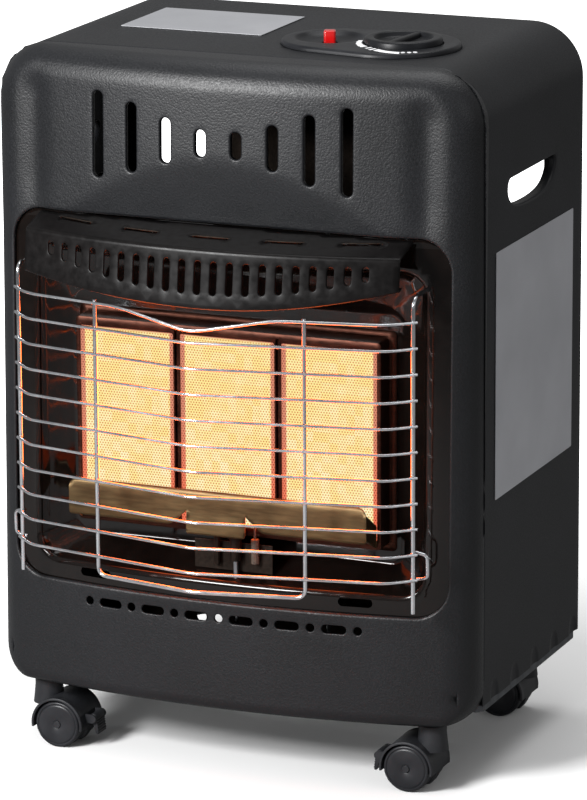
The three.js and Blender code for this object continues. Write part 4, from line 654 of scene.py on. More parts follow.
def wrap_section(s, inset=0.0):
    """x, z at distance s along the sheet, up the right side, over and down the left, moved in by
    inset."""
    s = np.asarray(s, float)
    mirror = s > WRAP_RUN / 2
    t = np.where(mirror, WRAP_RUN - s, s)
    turn = np.clip((t - SIDE_RUN) / WRAP_CORNER, 0, np.pi / 2)
    radius = WRAP_CORNER - inset
    x = WRAP_HALF - WRAP_CORNER + radius * np.cos(turn) - np.maximum(t - SIDE_RUN - ARC_RUN, 0)
    return np.where(mirror, -x, x), np.minimum(t, SIDE_RUN) + radius * np.sin(turn)


def gusset(y, z):
    """Five crescent dents that stiffen the lower bend: depth of a dome 17 mm wide and 15 mm high at the
    edge, its front side steeper so that it reads as a crescent."""
    first, pitch, front, rear, high, deep = 25.0, 45.5, 7.0, 10.0, 15.0, 1.2
    depth = np.zeros_like(y)
    for middle in first + pitch * np.arange(5):
        across = (y - middle) / np.where(y < middle, front, rear)
        depth = np.maximum(depth, deep * np.sqrt(np.clip(1 - across**2 - (np.maximum(z, 0) / high) ** 2,
                                                         0, 1)))
    return depth


def wrap_point(flat, sink=0.0):
    """Distance along the sheet and depth to the folded wrap; the dents push the sides in."""
    x, z = wrap_section(flat[:, 0], sink)
    dent = gusset(flat[:, 1], z) * (z < 20)
    return columns(x - np.sign(x) * dent, flat[:, 1], z)


def hand_loop(grow, right):
    """Hand hole: straight front and top edge, lower edge swelling down in one curve; on the right side,
    distance along the sheet is height, on the left it counts from the far end."""
    front, back, top, drop, corner, small, tight = 52.0, 158.0, 402.5, 24.5, 8.0, 4.0, 2.0
    low, middle, pull = top - drop, (front + back) / 2, (back - front) * 0.31
    base = np.concatenate([
        bezier((front, top - corner), (front, top), (front + corner, top), steps=8),
        bezier((front + corner, top), (back - small, top), steps=15),
        bezier((back - small, top), (back, top), (back, top - small), steps=8),
        bezier((back, top - small), (back - small, low + small), (middle + pull, low), (middle, low),
               steps=22),
        bezier((middle, low), (middle - pull, low), (front + tight, low + small), (front, top - corner),
               steps=22),
    ])
    along = np.roll(base, -1, axis=0) - np.roll(base, 1, axis=0)
    larger = base + columns(-along[:, 1], along[:, 0]) / np.linalg.norm(along, axis=1)[:, None] * grow
    return columns(larger[:, 1] if right else WRAP_RUN - larger[:, 1], larger[:, 0])


def panel_loop(inset, steps=40):
    """Control panel: circles of 44 mm and 52 mm joined by their common tangents."""
    large_x, small_x, y = 98.0, 52.0, 72.0
    large, small = 52.0 - inset, 44.0 - inset
    tangent = math.degrees(math.acos((small - large) / (large_x - small_x)))
    return np.concatenate([arc(large_x, y, large, -tangent, tangent, steps),
                           arc(small_x, y, small, tangent, 360 - tangent, steps)])


def cabinet_wrap():
    """One sheet folded over both sides and the top, with rolled hand holes, a hem below and a turned-in
    back edge."""
    stations = (0, SIDE_RUN, SIDE_RUN + ARC_RUN, WRAP_RUN - SIDE_RUN - ARC_RUN, WRAP_RUN - SIDE_RUN,
                WRAP_RUN)
    s_line = np.unique(np.concatenate([
        np.linspace(start, end, count)
        for start, end, count in zip(stations, stations[1:], (58, 17, 40, 17, 58))
    ]).round(9))
    fold, roll, hole_depth, margin = 1.5, 2.2, 9.0, 4.0
    y_line = np.linspace(WRAP_FRONT, WRAP_BACK - fold, 130)
    outline = np.concatenate([
        columns(s_line, y_line[0])[:-1], columns(s_line[-1], y_line)[:-1],
        columns(s_line[::-1], y_line[-1])[:-1], columns(s_line[0], y_line[::-1])[:-1],
    ])
    holes = [hand_loop(roll, True), hand_loop(roll, False), panel_loop(4.4) * [-1, 1] + [WRAP_RUN / 2, 0]]
    zones = [(0, 0, 20, WRAP_BACK, 2.0), (WRAP_RUN - 20, 0, WRAP_RUN, WRAP_BACK, 2.0),
             (stations[1] - margin, 0, stations[2] + margin, WRAP_BACK, 5.0),
             (stations[3] - margin, 0, stations[4] + margin, WRAP_BACK, 5.0)]
    flat, triangles = pierced(outline, holes, 8.0, zones)
    shapes = [(wrap_point(flat), [triangles])]
    for right in (True, False):
        shapes.append(rim(lambda g, r=right: hand_loop(g, r), wrap_point, roll, hole_depth))
    back = []
    for angle in sweep(4):
        x, z = wrap_section(s_line, fold * (1 - math.cos(angle)))
        back.append(columns(x, y_line[-1] + fold * math.sin(angle), z))
    x, z = wrap_section(s_line, 12.0)
    back.append(columns(x, WRAP_BACK, z))
    shapes.append(skin(back, round_ring=False))
    dent = gusset(y_line, np.zeros(len(y_line)))
    for sign in (-1, 1):
        rows = [columns(sign * (WRAP_HALF - inset - dent), y_line, z + 0.25 * dent * (inset > 0))
                for inset, z in ((0, 0), (0.35, 0), (1.2, 0.5), (9.0, 0.6))]
        shapes.append(skin(rows, round_ring=False))
    make_piece("cabinet_wrap", together(*shapes), POWDER_WRAP, stands_for=["wrap"],
               facing=(0, 0, 1), crease=42, thick=0.8)


# Enamelled pan behind the window


def pan_loop(half, low, top, corner):
    """Rounded rectangle with fixed point counts."""
    return counted_box(half, low, top, corner, corner, 10, 10, 35, 43)


def lap_y(flat, sink=0.0):
    """The lap follows the bow 4.2 mm behind the face; over the window it keeps behind the facet."""
    x, z = flat[:, 0], flat[:, 1]
    plain = -(reach(x, z) - 4.2)
    return np.where(z > 355, np.maximum(plain, facet_y(z) + 1.9), plain) + sink


def enamel_pan():
    """Lap with its slots and hook holes as a pierced sheet, then rings: a rolled mouth, the sloping
    throat, a hollow corner and the back plate as far as the gate of the burners."""
    mouth, back = np.array([160.0, 92.0, 342.0, 18.0]), np.array([138.0, 108.0, 306.0, 12.0])
    roll, back_y, hook_x = 5.0, -8.3, 109

    def loop(share, grow=0.0):
        half, low, top, corner = mouth + (back - mouth) * share + [grow, -grow, grow, grow]
        return pan_loop(half, low, top, max(corner, 3))

    def hook_hole(sign, grow=0.0):
        return stadium(sign * hook_x, 84, 27 + 2 * grow, 7 + 2 * grow, False)

    start = loop(0, roll)
    flat, triangles = pierced(pan_loop(186, 70.5, 368.3, 27), [start, hook_hole(-1), hook_hole(1)], 6.0)
    rim_y = lap_y(start)
    rings = [upright(start, rim_y)]
    for angle in sweep(6, 75)[1:]:
        rings.append(upright(loop(0, roll * (1 - math.sin(angle))), rim_y + roll * (1 - math.cos(angle))))
    throat_y = rings[-1][:, 1]
    for share, near in ((0.25, 0.25), (0.5, 0.5), (0.72, 0.72), (0.86, 0.82), (0.96, 0.93), (1.04, 0.985),
                        (1.12, 1)):
        ring = loop(min(share, 1.0), -max(share - 1.0, 0) * 24)
        rings.append(upright(ring, throat_y + (back_y - throat_y) * near))
    gate = pan_loop(128.5, 121, 291, 5)
    rings += [upright(gate, back_y), upright(gate, back_y + 1.0)]
    shapes = [(upright(flat, lap_y(flat)), [triangles]), skin(rings)]
    for sign in (-1, 1):
        shapes.append(rim(lambda g, s=sign: hook_hole(s), lambda at, sink: upright(at, lap_y(at, sink)),
                          0.0, 1.2, 1))
    make_piece("enamelled_pan", together(*shapes), ENAMEL_PAN, stands_for=["enamel_pan"],
               facing=(0, -1, 0), crease=50, thick=0.9)


# Visor

VISOR_HALF, VISOR_BOW, FOLD_Z, FOLD_REACH, FOLD_R, LIP_REACH = 154.0, 9.8e-4, 358.0, 81.0, 3.0, 86.0
ROOT_Z, LIP_Z = 369.2, 317.0


def lip_z(x):
    """Lower edge of the apron: lowest in the middle, rising a little faster to the right."""
    return LIP_Z + x * x * np.where(x < 0, 5.0e-4, 8.5e-4)


def visor_run(x):
    """Depth of the apron at the fold, and the roof's level run from there to the facet."""
    front = -FOLD_REACH + VISOR_BOW * x * x
    return front, cover_face(x, np.full(len(x), ROOT_Z)) - front - FOLD_R


def visor_point(flat, sink=0.0):
    """Second number is height on the apron; above the fold it counts on along the roof, which climbs back
    to the facet. The fold is an arc of FOLD_R through the angle between apron and roof."""
    x, v = flat[:, 0], flat[:, 1]
    front, run = visor_run(x)
    climb = np.arctan2(ROOT_Z - FOLD_Z - FOLD_R, run)
    turn = np.clip((v - FOLD_Z) / FOLD_R, 0, np.pi / 2 - climb)
    over = np.maximum(v - FOLD_Z - FOLD_R * (np.pi / 2 - climb), 0)
    lean = (LIP_REACH - FOLD_REACH) * np.clip((FOLD_Z - v) / (FOLD_Z - LIP_Z), 0, 2)
    y = front - lean + (FOLD_R - sink) * (1 - np.cos(turn)) + sink + over * np.sin(turn)
    return columns(x, y, np.minimum(v, FOLD_Z) + (FOLD_R - sink) * np.sin(turn) + over * np.cos(turn))


def visor_sheet():
    """Apron with its slots, roof with five lipped slits, and a hem rolled back under the lip."""
    bend, roll, slot_width, slot_depth, slot_pitch = FOLD_R * np.pi / 2, 0.8, 5.2, 1.8, 12.91
    slit_pitch, slit_length, slit_width, hem_roll = 59.0, 30, 3.4, 1.4
    xs, up = np.linspace(-VISOR_HALF, VISOR_HALF, 79), np.linspace(0, 1, 24)
    low, root = lip_z(xs), FOLD_Z + bend + visor_run(xs)[1]
    outline = np.concatenate([
        columns(xs, low)[:-1], columns(VISOR_HALF, low[-1] + (root[-1] - low[-1]) * up)[:-1],
        columns(xs, root)[::-1][:-1], columns(-VISOR_HALF, low[0] + (root[0] - low[0]) * up)[::-1][:-1],
    ])
    x = slot_pitch * (np.arange(21) - 10)
    top, bottom = 352.0 + 1.1e-4 * x * x, 326.5 + 9.8e-4 * x * x

    def slot(number, grow):
        return stadium(x[number], (top[number] + bottom[number]) / 2,
                       top[number] - bottom[number] + 2 * grow, slot_width + 2 * grow, True, 8)

    slits = [(slit_pitch * (i - 2), FOLD_Z + bend + 20) for i in range(5)]
    holes = [slot(number, roll) for number in range(21)]
    holes += [stadium(slit_x, v, slit_length, slit_width, False, 8) for slit_x, v in slits]
    flat, triangles = pierced(outline, holes, 5.0,
                              [(-VISOR_HALF, FOLD_Z - 3, VISOR_HALF, FOLD_Z + 7, 1.6)])
    shapes = [(visor_point(flat), [triangles])]
    for number in range(21):
        shapes.append(rim(lambda g, n=number: slot(n, g), lambda at, sink: visor_point(at) + [0, sink, 0],
                          roll, slot_depth, 3))
    hem = [visor_point(columns(xs, low))]
    for angle in sweep(6, 120)[1:]:
        hem.append(hem[0] + [0, hem_roll * (1 - math.cos(angle)), -hem_roll * math.sin(angle)])
    hem.append(hem[-1] + [0, 3.5, 2.0])
    shapes.append(skin(hem, round_ring=False))
    make_piece("slotted_visor", together(*shapes), ENAMEL, stands_for=["visor"],
               facing=(0, -1, 1), crease=50, thick=0.9)
    along = np.linspace(-15.5, 15.5, 21)
    swell = 0.2 + 0.5 * np.sqrt(1 - (along / 15.6) ** 2)
    lips = [wire(visor_point(columns(slit_x + along, v + 2.2)), swell, (0, 0, 1), 10)
            for slit_x, v in slits]
    make_piece("visor_slit_lips", together(*lips), SCALED, facing="out", crease=60)


# Wire guard


def wire_guard():
    """Eleven bowed wires of 2.4 mm on four uprights of 3.4 mm; a wire is two straight wings meeting in a
    bend at the crest, the top one dips in the middle, and every crossing has a weld nugget."""
    crest, corner_x, corner_reach, end_x, end_reach = 100.0, 147.5, 71.5, 166.0, 54.0
    top_z, pitch, dip, dip_half, post_x, inner_x = 312.5, 20, 11.5, 64, 163.0, 86.0
    thin, stout, sunk = 1.2, 1.7, 0.5
    behind = thin + stout - sunk

    def line_y(x):
        return -crest + (crest - corner_reach) * x / corner_x

    rise = (end_reach - corner_reach) / (end_x - corner_x)
    post_y = -corner_reach - rise * (post_x - corner_x) + behind
    inner_y, low_z, high_z = line_y(inner_x) + behind, 97, top_z + 2.4
    shapes, nuggets = [], []
    for i in range(11):
        z = top_z - pitch * i
        middle = [(0, -crest, z)] if i else [(-dip_half, line_y(dip_half), z), (0, -crest, z - dip),
                                             (dip_half, line_y(dip_half), z)]
        corners = [(-end_x, -end_reach, z), (-corner_x, -corner_reach, z), *middle,
                   (corner_x, -corner_reach, z), (end_x, -end_reach, z)]
        shapes.append(wire(bent(corners, 7.0 if i else 12.0), thin, (0, 0, 1)))
        nuggets += [(s * at, y - 1.4, z)
                    for at, y in ((post_x, post_y), (inner_x, inner_y)) for s in (-1, 1)]
    for sign in (-1, 1):
        x = sign * post_x
        out = x + sign * 9
        post = [(x, -22, 331), (x, post_y, 331), (x, post_y, 200), (x, post_y, 86)]
        shapes.append(wire(bent(post, 9.0, 8), stout, (1, 0, 0)))
        hook = [(x, -49, 133), (out, -48, 131), (out, -47, 113), (x, -46, 111)]
        shapes.append(wire(bent(hook, 3.5), 1.4, (0, 1, 0)))
    loop = [(-inner_x, inner_y, high_z), (-inner_x, inner_y, low_z), (0, -crest + behind, low_z),
            (inner_x, inner_y, low_z), (inner_x, inner_y, high_z)]
    shapes.append(wire(bent(loop, 8.0, 8), stout, (0, 1, 0.02)))
    a = np.linspace(0, np.pi, 7)
    bead = across_y(turned(columns(2.0 * np.sin(a), 1.7 * np.cos(a)) + 1e-6, 0, 0, 10), 0, 0, 0)
    shapes += [(bead[0] + nugget, bead[1]) for nugget in nuggets]
    make_piece("bowed_wire_guard", together(*shapes), CHROME,
               stands_for=["wire_guard"], crease=60)


# Plaques, their frame and the shield


def plaque_piece(tag, middle):
    """Ceramic slab whose face is pressed in ribs 5 mm apart, its edge worn round."""
    half, low, top, front, thick = 39.85, 130.0, 281.5, -27.0, 12.4
    rib_pitch, rib_height, worn_r = 5.0, 0.18, 0.9
    x, z = np.meshgrid(np.linspace(-half, half, 72), np.linspace(low, top, 120))
    edge = np.minimum(np.minimum(half - np.abs(x), z - low), top - z)
    ribs = rib_height * np.cos(2 * np.pi * z / rib_pitch) * smooth_step(2, 5, edge)
    worn = worn_r * (1 - np.sqrt(1 - (1 - np.clip(edge / worn_r, 0, 1)) ** 2))
    face = columns(middle + x, front + 0.25 + ribs + worn, z)
    border = np.concatenate([face[0, :-1], face[:-1, -1], face[-1, :0:-1], face[:0:-1, 0]])
    rear = columns(face[::119, ::71, 0], front + thick, face[::119, ::71, 2])
    shape = together(skin(face, round_ring=False),
                     skin([border, columns(border[:, 0], front + thick, border[:, 2])]),
                     skin(rear, round_ring=False))
    make_piece(f"ceramic_plaque_{tag}", shape, CERAMIC, stands_for=[f"plaque_{tag}"],
               facing="out", crease=60,
               uv=lambda p: columns(p[:, 0] / MM - middle, p[:, 2] / MM - SEAM[2] - PLAQUE_Z))


def plaque_frame():
    """Clamping frame: one sheet with three windows, a sunk channel down each division and a skirt back to
    the pan."""
    half, low, top, front = 126.2, 125.2, 286.8, -28.5

    def box(x, half_width, z0, z1, radius, steps=4):
        return split_long(rounded_box(x - half_width, z0, x + half_width, z1, radius, steps), 5)

    def rings(loop, *steps):
        return [upright(grown(loop, grow), y) for y, grow in ((front, 0), *steps)]

    outline = box(0, half, low, top, 3.0, 5)
    windows = [box(x, 39.7, 131.0, 280.5, 2.0) for x in (-PLAQUE_PITCH, 0, PLAQUE_PITCH)]
    channels = [box(s * PLAQUE_PITCH / 2, 1.85, 129.0, 283.5, 1.5) for s in (-1, 1)]
    flat, triangles = pierced(outline, [*windows, *channels], 4.0)
    shapes = [(upright(flat, front), [triangles])]
    shapes += [skin(rings(loop, (front + 0.25, -0.35), (front + 1.2, -0.4))) for loop in windows]
    for loop in channels:
        walls = rings(loop, (front + 0.6, -0.6), (front + 2.6, -0.9))
        shapes += [skin(walls), (walls[-1], [np.arange(len(loop))[None]])]
    shapes.append(skin(rings(outline, (front + 0.4, 0.5), (-10.4, 0.5), (-9.2, 1.6), (-9.2, 5.8))))
    make_piece("plaque_clamp_frame", together(*shapes), TEMPERED,
               stands_for=["plaque_frame"], facing=(0, -1, 0), crease=40, thick=0.6)


def flame_shield():
    """Folded strip under the plaques: notched plate with a lower tab leaning out, and a web back at each
    end."""
    right, radii = ([(24.5, 129.5), (24.5, 147), (38, 135), (124, 135), (124, 164)],
                    [2.5, 0.6, 3.0, 3.0, 9.0])
    corners = right + [(-x, z) for x, z in right[::-1]]
    flat, triangles = pierced(split_long(bent(corners, radii + radii[::-1], 5, True), 4), [], 3.0)
    x, z = flat[:, 0], flat[:, 1]
    tab = np.clip((147 - z) / 17.5, 0, 1) * (np.abs(x) < 24.6)
    shapes = [(upright(flat, -52 - 1.5 * tab + 1.6 * smooth_step(158, 164, z) ** 2), [triangles])]
    side = bent([(-51.0, 137), (-29.0, 126.5), (-29.0, 144), (-51.0, 158)], [3, 1, 1, 3], 5, True)
    web, faces = pierced(split_long(side, 4), [], 3.0)
    shapes += [(columns(sign * 123.4, web[:, 0], web[:, 1]), [faces]) for sign in (-1, 1)]
    piece = make_piece("flame_shield", together(*shapes), SHIELD,
                       stands_for=["deflector_shield"], facing=(0, -1, 0), crease=40, thick=1.0)
    soft = piece.modifiers.new("edge", "BEVEL")
    soft.width = 0.3 * MM
    soft.segments = 2


def inner_plate():
    """Flat screen behind the burners with a neck up to the top beside the valve, two small holes near its
    foot and its edges turned back."""
    front, middle = 60.0, np.array([0.0, 210.0])
    corners = [(150, 14), (150, 380), (74, 380), (74, 468), (-48, 468), (-48, 380), (-150, 380),
               (-150, 14)]
    outline = split_long(bent(corners, [8, 8, 10, 6, 6, 10, 8, 8], 5, True), 10)
    flat, triangles = pierced(outline, [circle(x, 26.5, 4.2, 16) for x in (-61.8, -47.3)], 12.0)
    edge = [upright(middle + (outline - middle) * scale, y)
            for y, scale in ((front, 1.0), (front + 0.35, 1.003), (front + 1.2, 1.006),
                             (front + 8.0, 1.006))]
    make_piece("inner_screen_plate", together((upright(flat, front), [triangles]), skin(edge)), SCALED,
               stands_for=["inner_baffle"], facing=(0, -1, 0), crease=40, thick=0.8)


# Control panel

PANEL_TOP, BUTTON_X, BUTTON_Y, KNOB_X, KNOB_Y = 499.0, 44.0, 75.0, 106.0, 72.0


def control_bezel():
    """Panel with a rolled edge, a bowl round the button and a well round the knob."""
    low, roll, drop, points = 495.3, 2.4, 3.2, 48
    bowl = [(27.8, 0), (27.3, -0.15), (26.6, -0.6), (25.2, -1.9), (23.0, -3.1), (19.5, -3.9),
            (15.0, -4.15), (6.6, -4.2), (6.1, -4.5), (6.1, -6.0)]
    well = [(31.6, 0), (31.1, -0.15), (30.85, -0.6), (30.8, -5.5), (7.9, -5.6)]
    dips = (BUTTON_X, BUTTON_Y, 64, bowl), (KNOB_X, KNOB_Y, 72, well)
    holes = [circle(x, y, profile[0][0], sides) for x, y, sides, profile in dips]
    flat, triangles = pierced(panel_loop(roll, points), holes, 4.0)
    edge = [level(panel_loop(roll * (1 - math.sin(angle)), points),
                  PANEL_TOP - drop * (1 - math.cos(angle)))
            for angle in sweep(6, 78)]
    edge += [level(panel_loop(inset, points), low) for inset in (0.0, 1.2)]
    shapes = [(level(flat, PANEL_TOP), [triangles]), skin(edge)]
    for x, y, sides, profile in dips:
        shapes.append(skin([level(circle(x, y, r, sides), PANEL_TOP + dz) for r, dz in profile]))
    make_piece("control_panel_bezel", together(*shapes), PANEL,
               stands_for=["control_bezel"], facing=(0, 0, 1), crease=42)


def dial_marks():
    """Printed marks round the knob: a widening arc with teeth, two dashes, a long band and three dots."""
    base, height = PANEL_TOP - 0.1, PANEL_TOP + 0.08

    def strip(start, end, inner, outer, teeth=0):
        a = np.radians(np.linspace(start, end, 2 + int((end - start) * 1.5) * 2))
        outer = outer - 0.9 * np.sin(np.linspace(0, teeth * np.pi, len(a))) ** 8
        rings = [columns(KNOB_X + r * np.cos(a), KNOB_Y + r * np.sin(a), z)
                 for r, z in ((inner, base), (inner, height), (outer, height), (outer, base))]
        return skin(np.stack(rings).transpose(1, 0, 2), caps=True)

    middle = np.interp(np.linspace(257, 287, 92), (257, 275, 287), (37.5, 42.6, 44.8))
    shapes = [strip(186, 233, 32.2, np.linspace(35.6, 38.0, 142), 4), strip(240, 244.5, 32.2, 38.0),
              strip(249.5, 254, 33.4, 40.4), strip(257, 287, middle - 3.4, middle + 3.4)]
    a = around(20)[:, None]
    for r, angle in ((43.0, 290.5), (43.0, 296.8), (42.6, 303.0)):
        out = np.array([math.cos(math.radians(angle)), math.sin(math.radians(angle))])
        beside = np.array([-out[1], out[0]])
        dot = [KNOB_X, KNOB_Y] + out * r + 2.7 * np.cos(a) * out + 1.7 * np.sin(a) * beside
        shapes.append(skin([level(dot, z) for z in (base, height)], caps=True))
    make_piece("dial_marks", together(*shapes), INK, facing="out", crease=30)


def control_knob():
    """Rim with a dished centre and a grip bar turned 7 degrees: across the bar the section is |cos a|^0.5
    wide and |sin a|^0.6 high, and its ends narrow."""
    radius, low, top, boss_low = 30.0, 497.8, 503.8, 488.8
    disk = turned([(3.4, low + 1), (3.4, low), (radius - 0.6, low), (radius, low + 0.6),
                   (radius, top - 1.6), (radius - 0.4, top - 0.7), (radius - 1.1, top - 0.15),
                   (radius - 2.0, top), (24.2, top), (23.3, top - 0.2), (22.6, top - 0.9),
                   (21.8, top - 3.2), (20.6, top - 4.2), (1e-4, top - 4.4)],
                  KNOB_X, KNOB_Y, 120)
    boss = turned([(3.4, low + 0.5), (7.0, low + 0.5), (7.0, boss_low + 0.4), (6.6, boss_low),
                   (3.4, boss_low)],
                  KNOB_X, KNOB_Y, 40)
    turn, bar_half, bar_width, bar_height = math.radians(-7.0), 22.6, 3.2, 4.3 * 0.985
    u, a = np.linspace(-1, 1, 25)[:, None], np.linspace(0, np.pi, 15)
    along = bar_half * np.sin(u * np.pi / 2)
    narrow = 1 - 0.9 * np.clip((np.abs(u) - 0.86) / 0.14, 0, 1) ** 2
    across = bar_width * narrow * np.sign(np.cos(a)) * np.abs(np.cos(a)) ** 0.5
    bar = skin(columns(KNOB_X + across * math.cos(turn) - along * math.sin(turn),
                       KNOB_Y + across * math.sin(turn) + along * math.cos(turn),
                       top - 4.6 + bar_height * np.abs(np.sin(a)) ** 0.6), caps=True)
    make_piece("control_knob_moulding", together(disk, boss, bar), KNOB, body="knob",
               stands_for=["control_knob"], facing="out", crease=40)


def igniter_button():
    """Square push button with well rounded corners (|x|^5 + |y|^5 = r^5) and a shallow crowned top, on a
    round stem."""
    top, cap_low, turn = 504.4, 492.9, math.radians(20)
    a = around(48)
    round_ring = columns(np.cos(a), np.sin(a))
    square = np.sign(round_ring) * np.abs(round_ring) ** (2 / 5)
    square = square @ [[math.cos(turn), math.sin(turn)], [-math.sin(turn), math.cos(turn)]]
    cap = [(3.4, cap_low), (4.7, cap_low), (4.7, top - 1.4), (4.6, top - 0.9), (4.3, top - 0.4),
           (3.8, top - 0.2), (2.6, top - 0.06), (1.0, top), (0.001, top)]
    rings = [level([BUTTON_X, BUTTON_Y] + r * ring, z)
             for ring, profile in ((round_ring, [(3.4, 476.2)]), (square, cap)) for r, z in profile]
    make_piece("igniter_button_cap", skin(rings, caps=True), RED, body="button",
               stands_for=["igniter_button"], facing="out", crease=50)


# Rear panel


def rear_panel():
    """Flat back with a large opening and four rows of slots, all rolled inwards, and its screws."""
    y, roll, slot_x, slot_length, slot_width = 223.4, 1.2, 69.0, 120, 9
    inlet_x, inlet_z, inlet_r = 118, 92, 6.8
    outline = split_long(rounded_box(-196, 10, 196, 470, 30, 10), 12)

    def opening(grow):
        return grown(split_long(rounded_box(-168, 338, 168, 455, 14, 8), 12), grow)

    def inlet(grow):
        return circle(inlet_x, inlet_z, inlet_r + grow, 28)

    holes = [(opening, 5.0), (inlet, 2.0)]
    for row in range(4):
        for x in (-slot_x, slot_x):
            holes.append((lambda g, x=x, z=190 + 26.0 * row: stadium(
                x, z, slot_length + 2 * g, slot_width + 2 * g, False), 2.4))
    flat, triangles = pierced(outline, [hole(roll) for hole, _ in holes], 14.0)
    shapes = [(upright(flat, y), [triangles])]
    shapes += [rim(hole, lambda at, sink: upright(at, y - sink), roll, depth, 4) for hole, depth in holes]
    make_piece("rear_panel_sheet", together(*shapes), POWDER_WRAP,
               stands_for=["rear_panel"], facing=(0, 1, 0), crease=40, thick=0.9)
    shapes = [screw(x, y, z) for x in (-193.5, 193.5) for z in (277.0, 227.0, 174.0)]
    make_piece("rear_panel_screws", together(*shapes), ZINC, facing="out", crease=35)


def screw(x, y, z):
    """Pan head of 6.8 mm: domed profile with a sunk recess of six lobes r (1 + 0.16 cos 6a), its axis
    along Y."""
    a = around(36)
    rings = []
    for r, out, lobes in [(3.4, 0.0, 0), (3.4, 0.7, 0), (3.1, 1.5, 0), (2.6, 2.1, 0), (1.9, 2.4, 0),
                          (1.5, 2.45, 0.16), (1.35, 1.3, 0.16), (0.01, 1.1, 0)]:
        radius = r * (1 + lobes * np.cos(6 * a))
        rings.append(columns(x + radius * np.cos(a), y + out, z + radius * np.sin(a)))
    return skin(rings, caps=True)


# Castors: name, stem, the way the wheels trail, and whether it has a brake

CASTORS = [("front_left", -163.0, -12.0, 1, True), ("front_right", 163.0, -12.0, -1, True),
           ("rear_left", -163.0, 190.0, 1, False), ("rear_right", 163.0, 190.0, -1, False)]
AXLE_Z, TRAIL, HOOD_R = -47.0, 15.0, 22.0
HINGE_OUT, HINGE_Z = TRAIL + HOOD_R + 4.2, AXLE_Z + 5


def castor_mount(tag, x, y):
    """Top plate, bright ball race and stem, turned."""
    shape = turned([(1e-4, -6.3), (13, -6.3), (13.0, -7.9), (12.6, -8.6), (10.2, -8.7), (10.0, -9.3),
                    (10.0, -12.4), (9.6, -13.1), (4.0, -13.2), (4.0, -32.6), (3.6, -33.0), (1e-4, -33.0)],
                    x, y, 48)
    make_piece(f"castor_race_{tag}", shape, ZINC, stands_for=[f"castor_mount_{tag}"],
               facing="out", crease=35)


def castor_hood(tag, x, y, towards, braked):
    """Arched hood over both wheels: a rounded channel section carried round the axle, with a core between
    the wheels, a neck under the race and, on the front castors, two lugs for the brake lever."""
    centre = x + towards * TRAIL
    half = [(12, 21.7), (17.7, 21.75), (18.3, 22.0), (19.1, 22.0), (19.7, 21.8), (20.0, 21.3),
            (20.0, 20.1)]
    section = np.array([(-w, r) for w, r in half[::-1]] + [(0, 21.75)] + half + [(12, 20.0), (-12, 20.0)])
    a = sweep(55, 189, -9)[:, None]
    arch = columns(centre + section[:, 1] * np.cos(a), y + section[:, 0],
                   AXLE_Z + section[:, 1] * np.sin(a))
    outline = np.maximum(circle(0, 0, 20.6, 40), [-99, -15])
    core = [columns(centre + outline[:, 0] * scale, y + dy, AXLE_Z + outline[:, 1] * scale)
            for scale, dy in ((0.94, -5.2), (1.0, -4.6), (1.0, 4.6), (0.94, 5.2))]
    neck = [(4.1, -13.6), (10.2, -13.6), (11.0, -14.4), (11.0, -20), (11.6, -26), (12.5, -34), (4.1, -34)]
    axle = [(1e-4, -19.7), (2.6, -19.7), (3.0, -19.3), (3.0, 19.3), (2.6, 19.7), (1e-4, 19.7)]
    shapes = [skin(arch, caps=True), skin(core, caps=True), turned(neck, x, y, 40),
              across_y(turned(axle, 0, 0, 24), centre, y, AXLE_Z)]
    if braked:
        hinge, inner, lug_r = x + towards * HINGE_OUT, centre + towards * 20.8, 3.5
        middle = 90 - 90 * towards
        corners = [(inner, HINGE_Z + towards * lug_r), (inner, HINGE_Z - towards * lug_r)]
        lug = np.concatenate([arc(hinge, HINGE_Z, lug_r, middle - 90, middle + 90, 10), corners])
        shapes += [skin([upright(lug, y + dy - 1), upright(lug, y + dy + 1)], caps=True) for dy in (-9.1,
                                                                                                    9.1)]
        pin = [(1e-4, -9.4), (1.75, -9.4), (1.75, 9.4), (1e-4, 9.4)]
        shapes.append(across_y(turned(pin, 0, 0, 20), hinge, y, HINGE_Z))
    make_piece(f"castor_housing_{tag}", together(*shapes), HOUSING, body=f"castor_{tag}",
               stands_for=[f"castor_hood_{tag}"], facing="out", crease=42)


def castor_wheel(letter, tag, x, y, towards, side):
    """Turned wheel: rounded tread, sunk ring and a smooth crowned cap with a lighter edge bead."""
    profile = [(3.2, 5.6), (16.6, 5.6), (17.6, 5.8), (18.6, 6.7), (19.0, 8.0), (19.0, 15.8), (18.7, 17.2),
               (17.9, 18.3), (17.2, 18.7), (16.6, 18.6), (16.3, 18.1), (15.9, 18.1), (15.4, 18.6),
               (14.4, 18.9), (9.0, 18.98), (3.6, 18.98), (3.2, 18.7), (3.2, 5.6)]
    shape = across_y(turned(np.array(profile) * [1, side], 0, 0, 64), x + towards * TRAIL, y, AXLE_Z)
    make_piece(f"wheel_{letter}_{tag}_tread", shape, WHEEL, body=f"tread_{letter}_{tag}",
               stands_for=[f"wheel_{letter}_{tag}"], facing="out", crease=42)


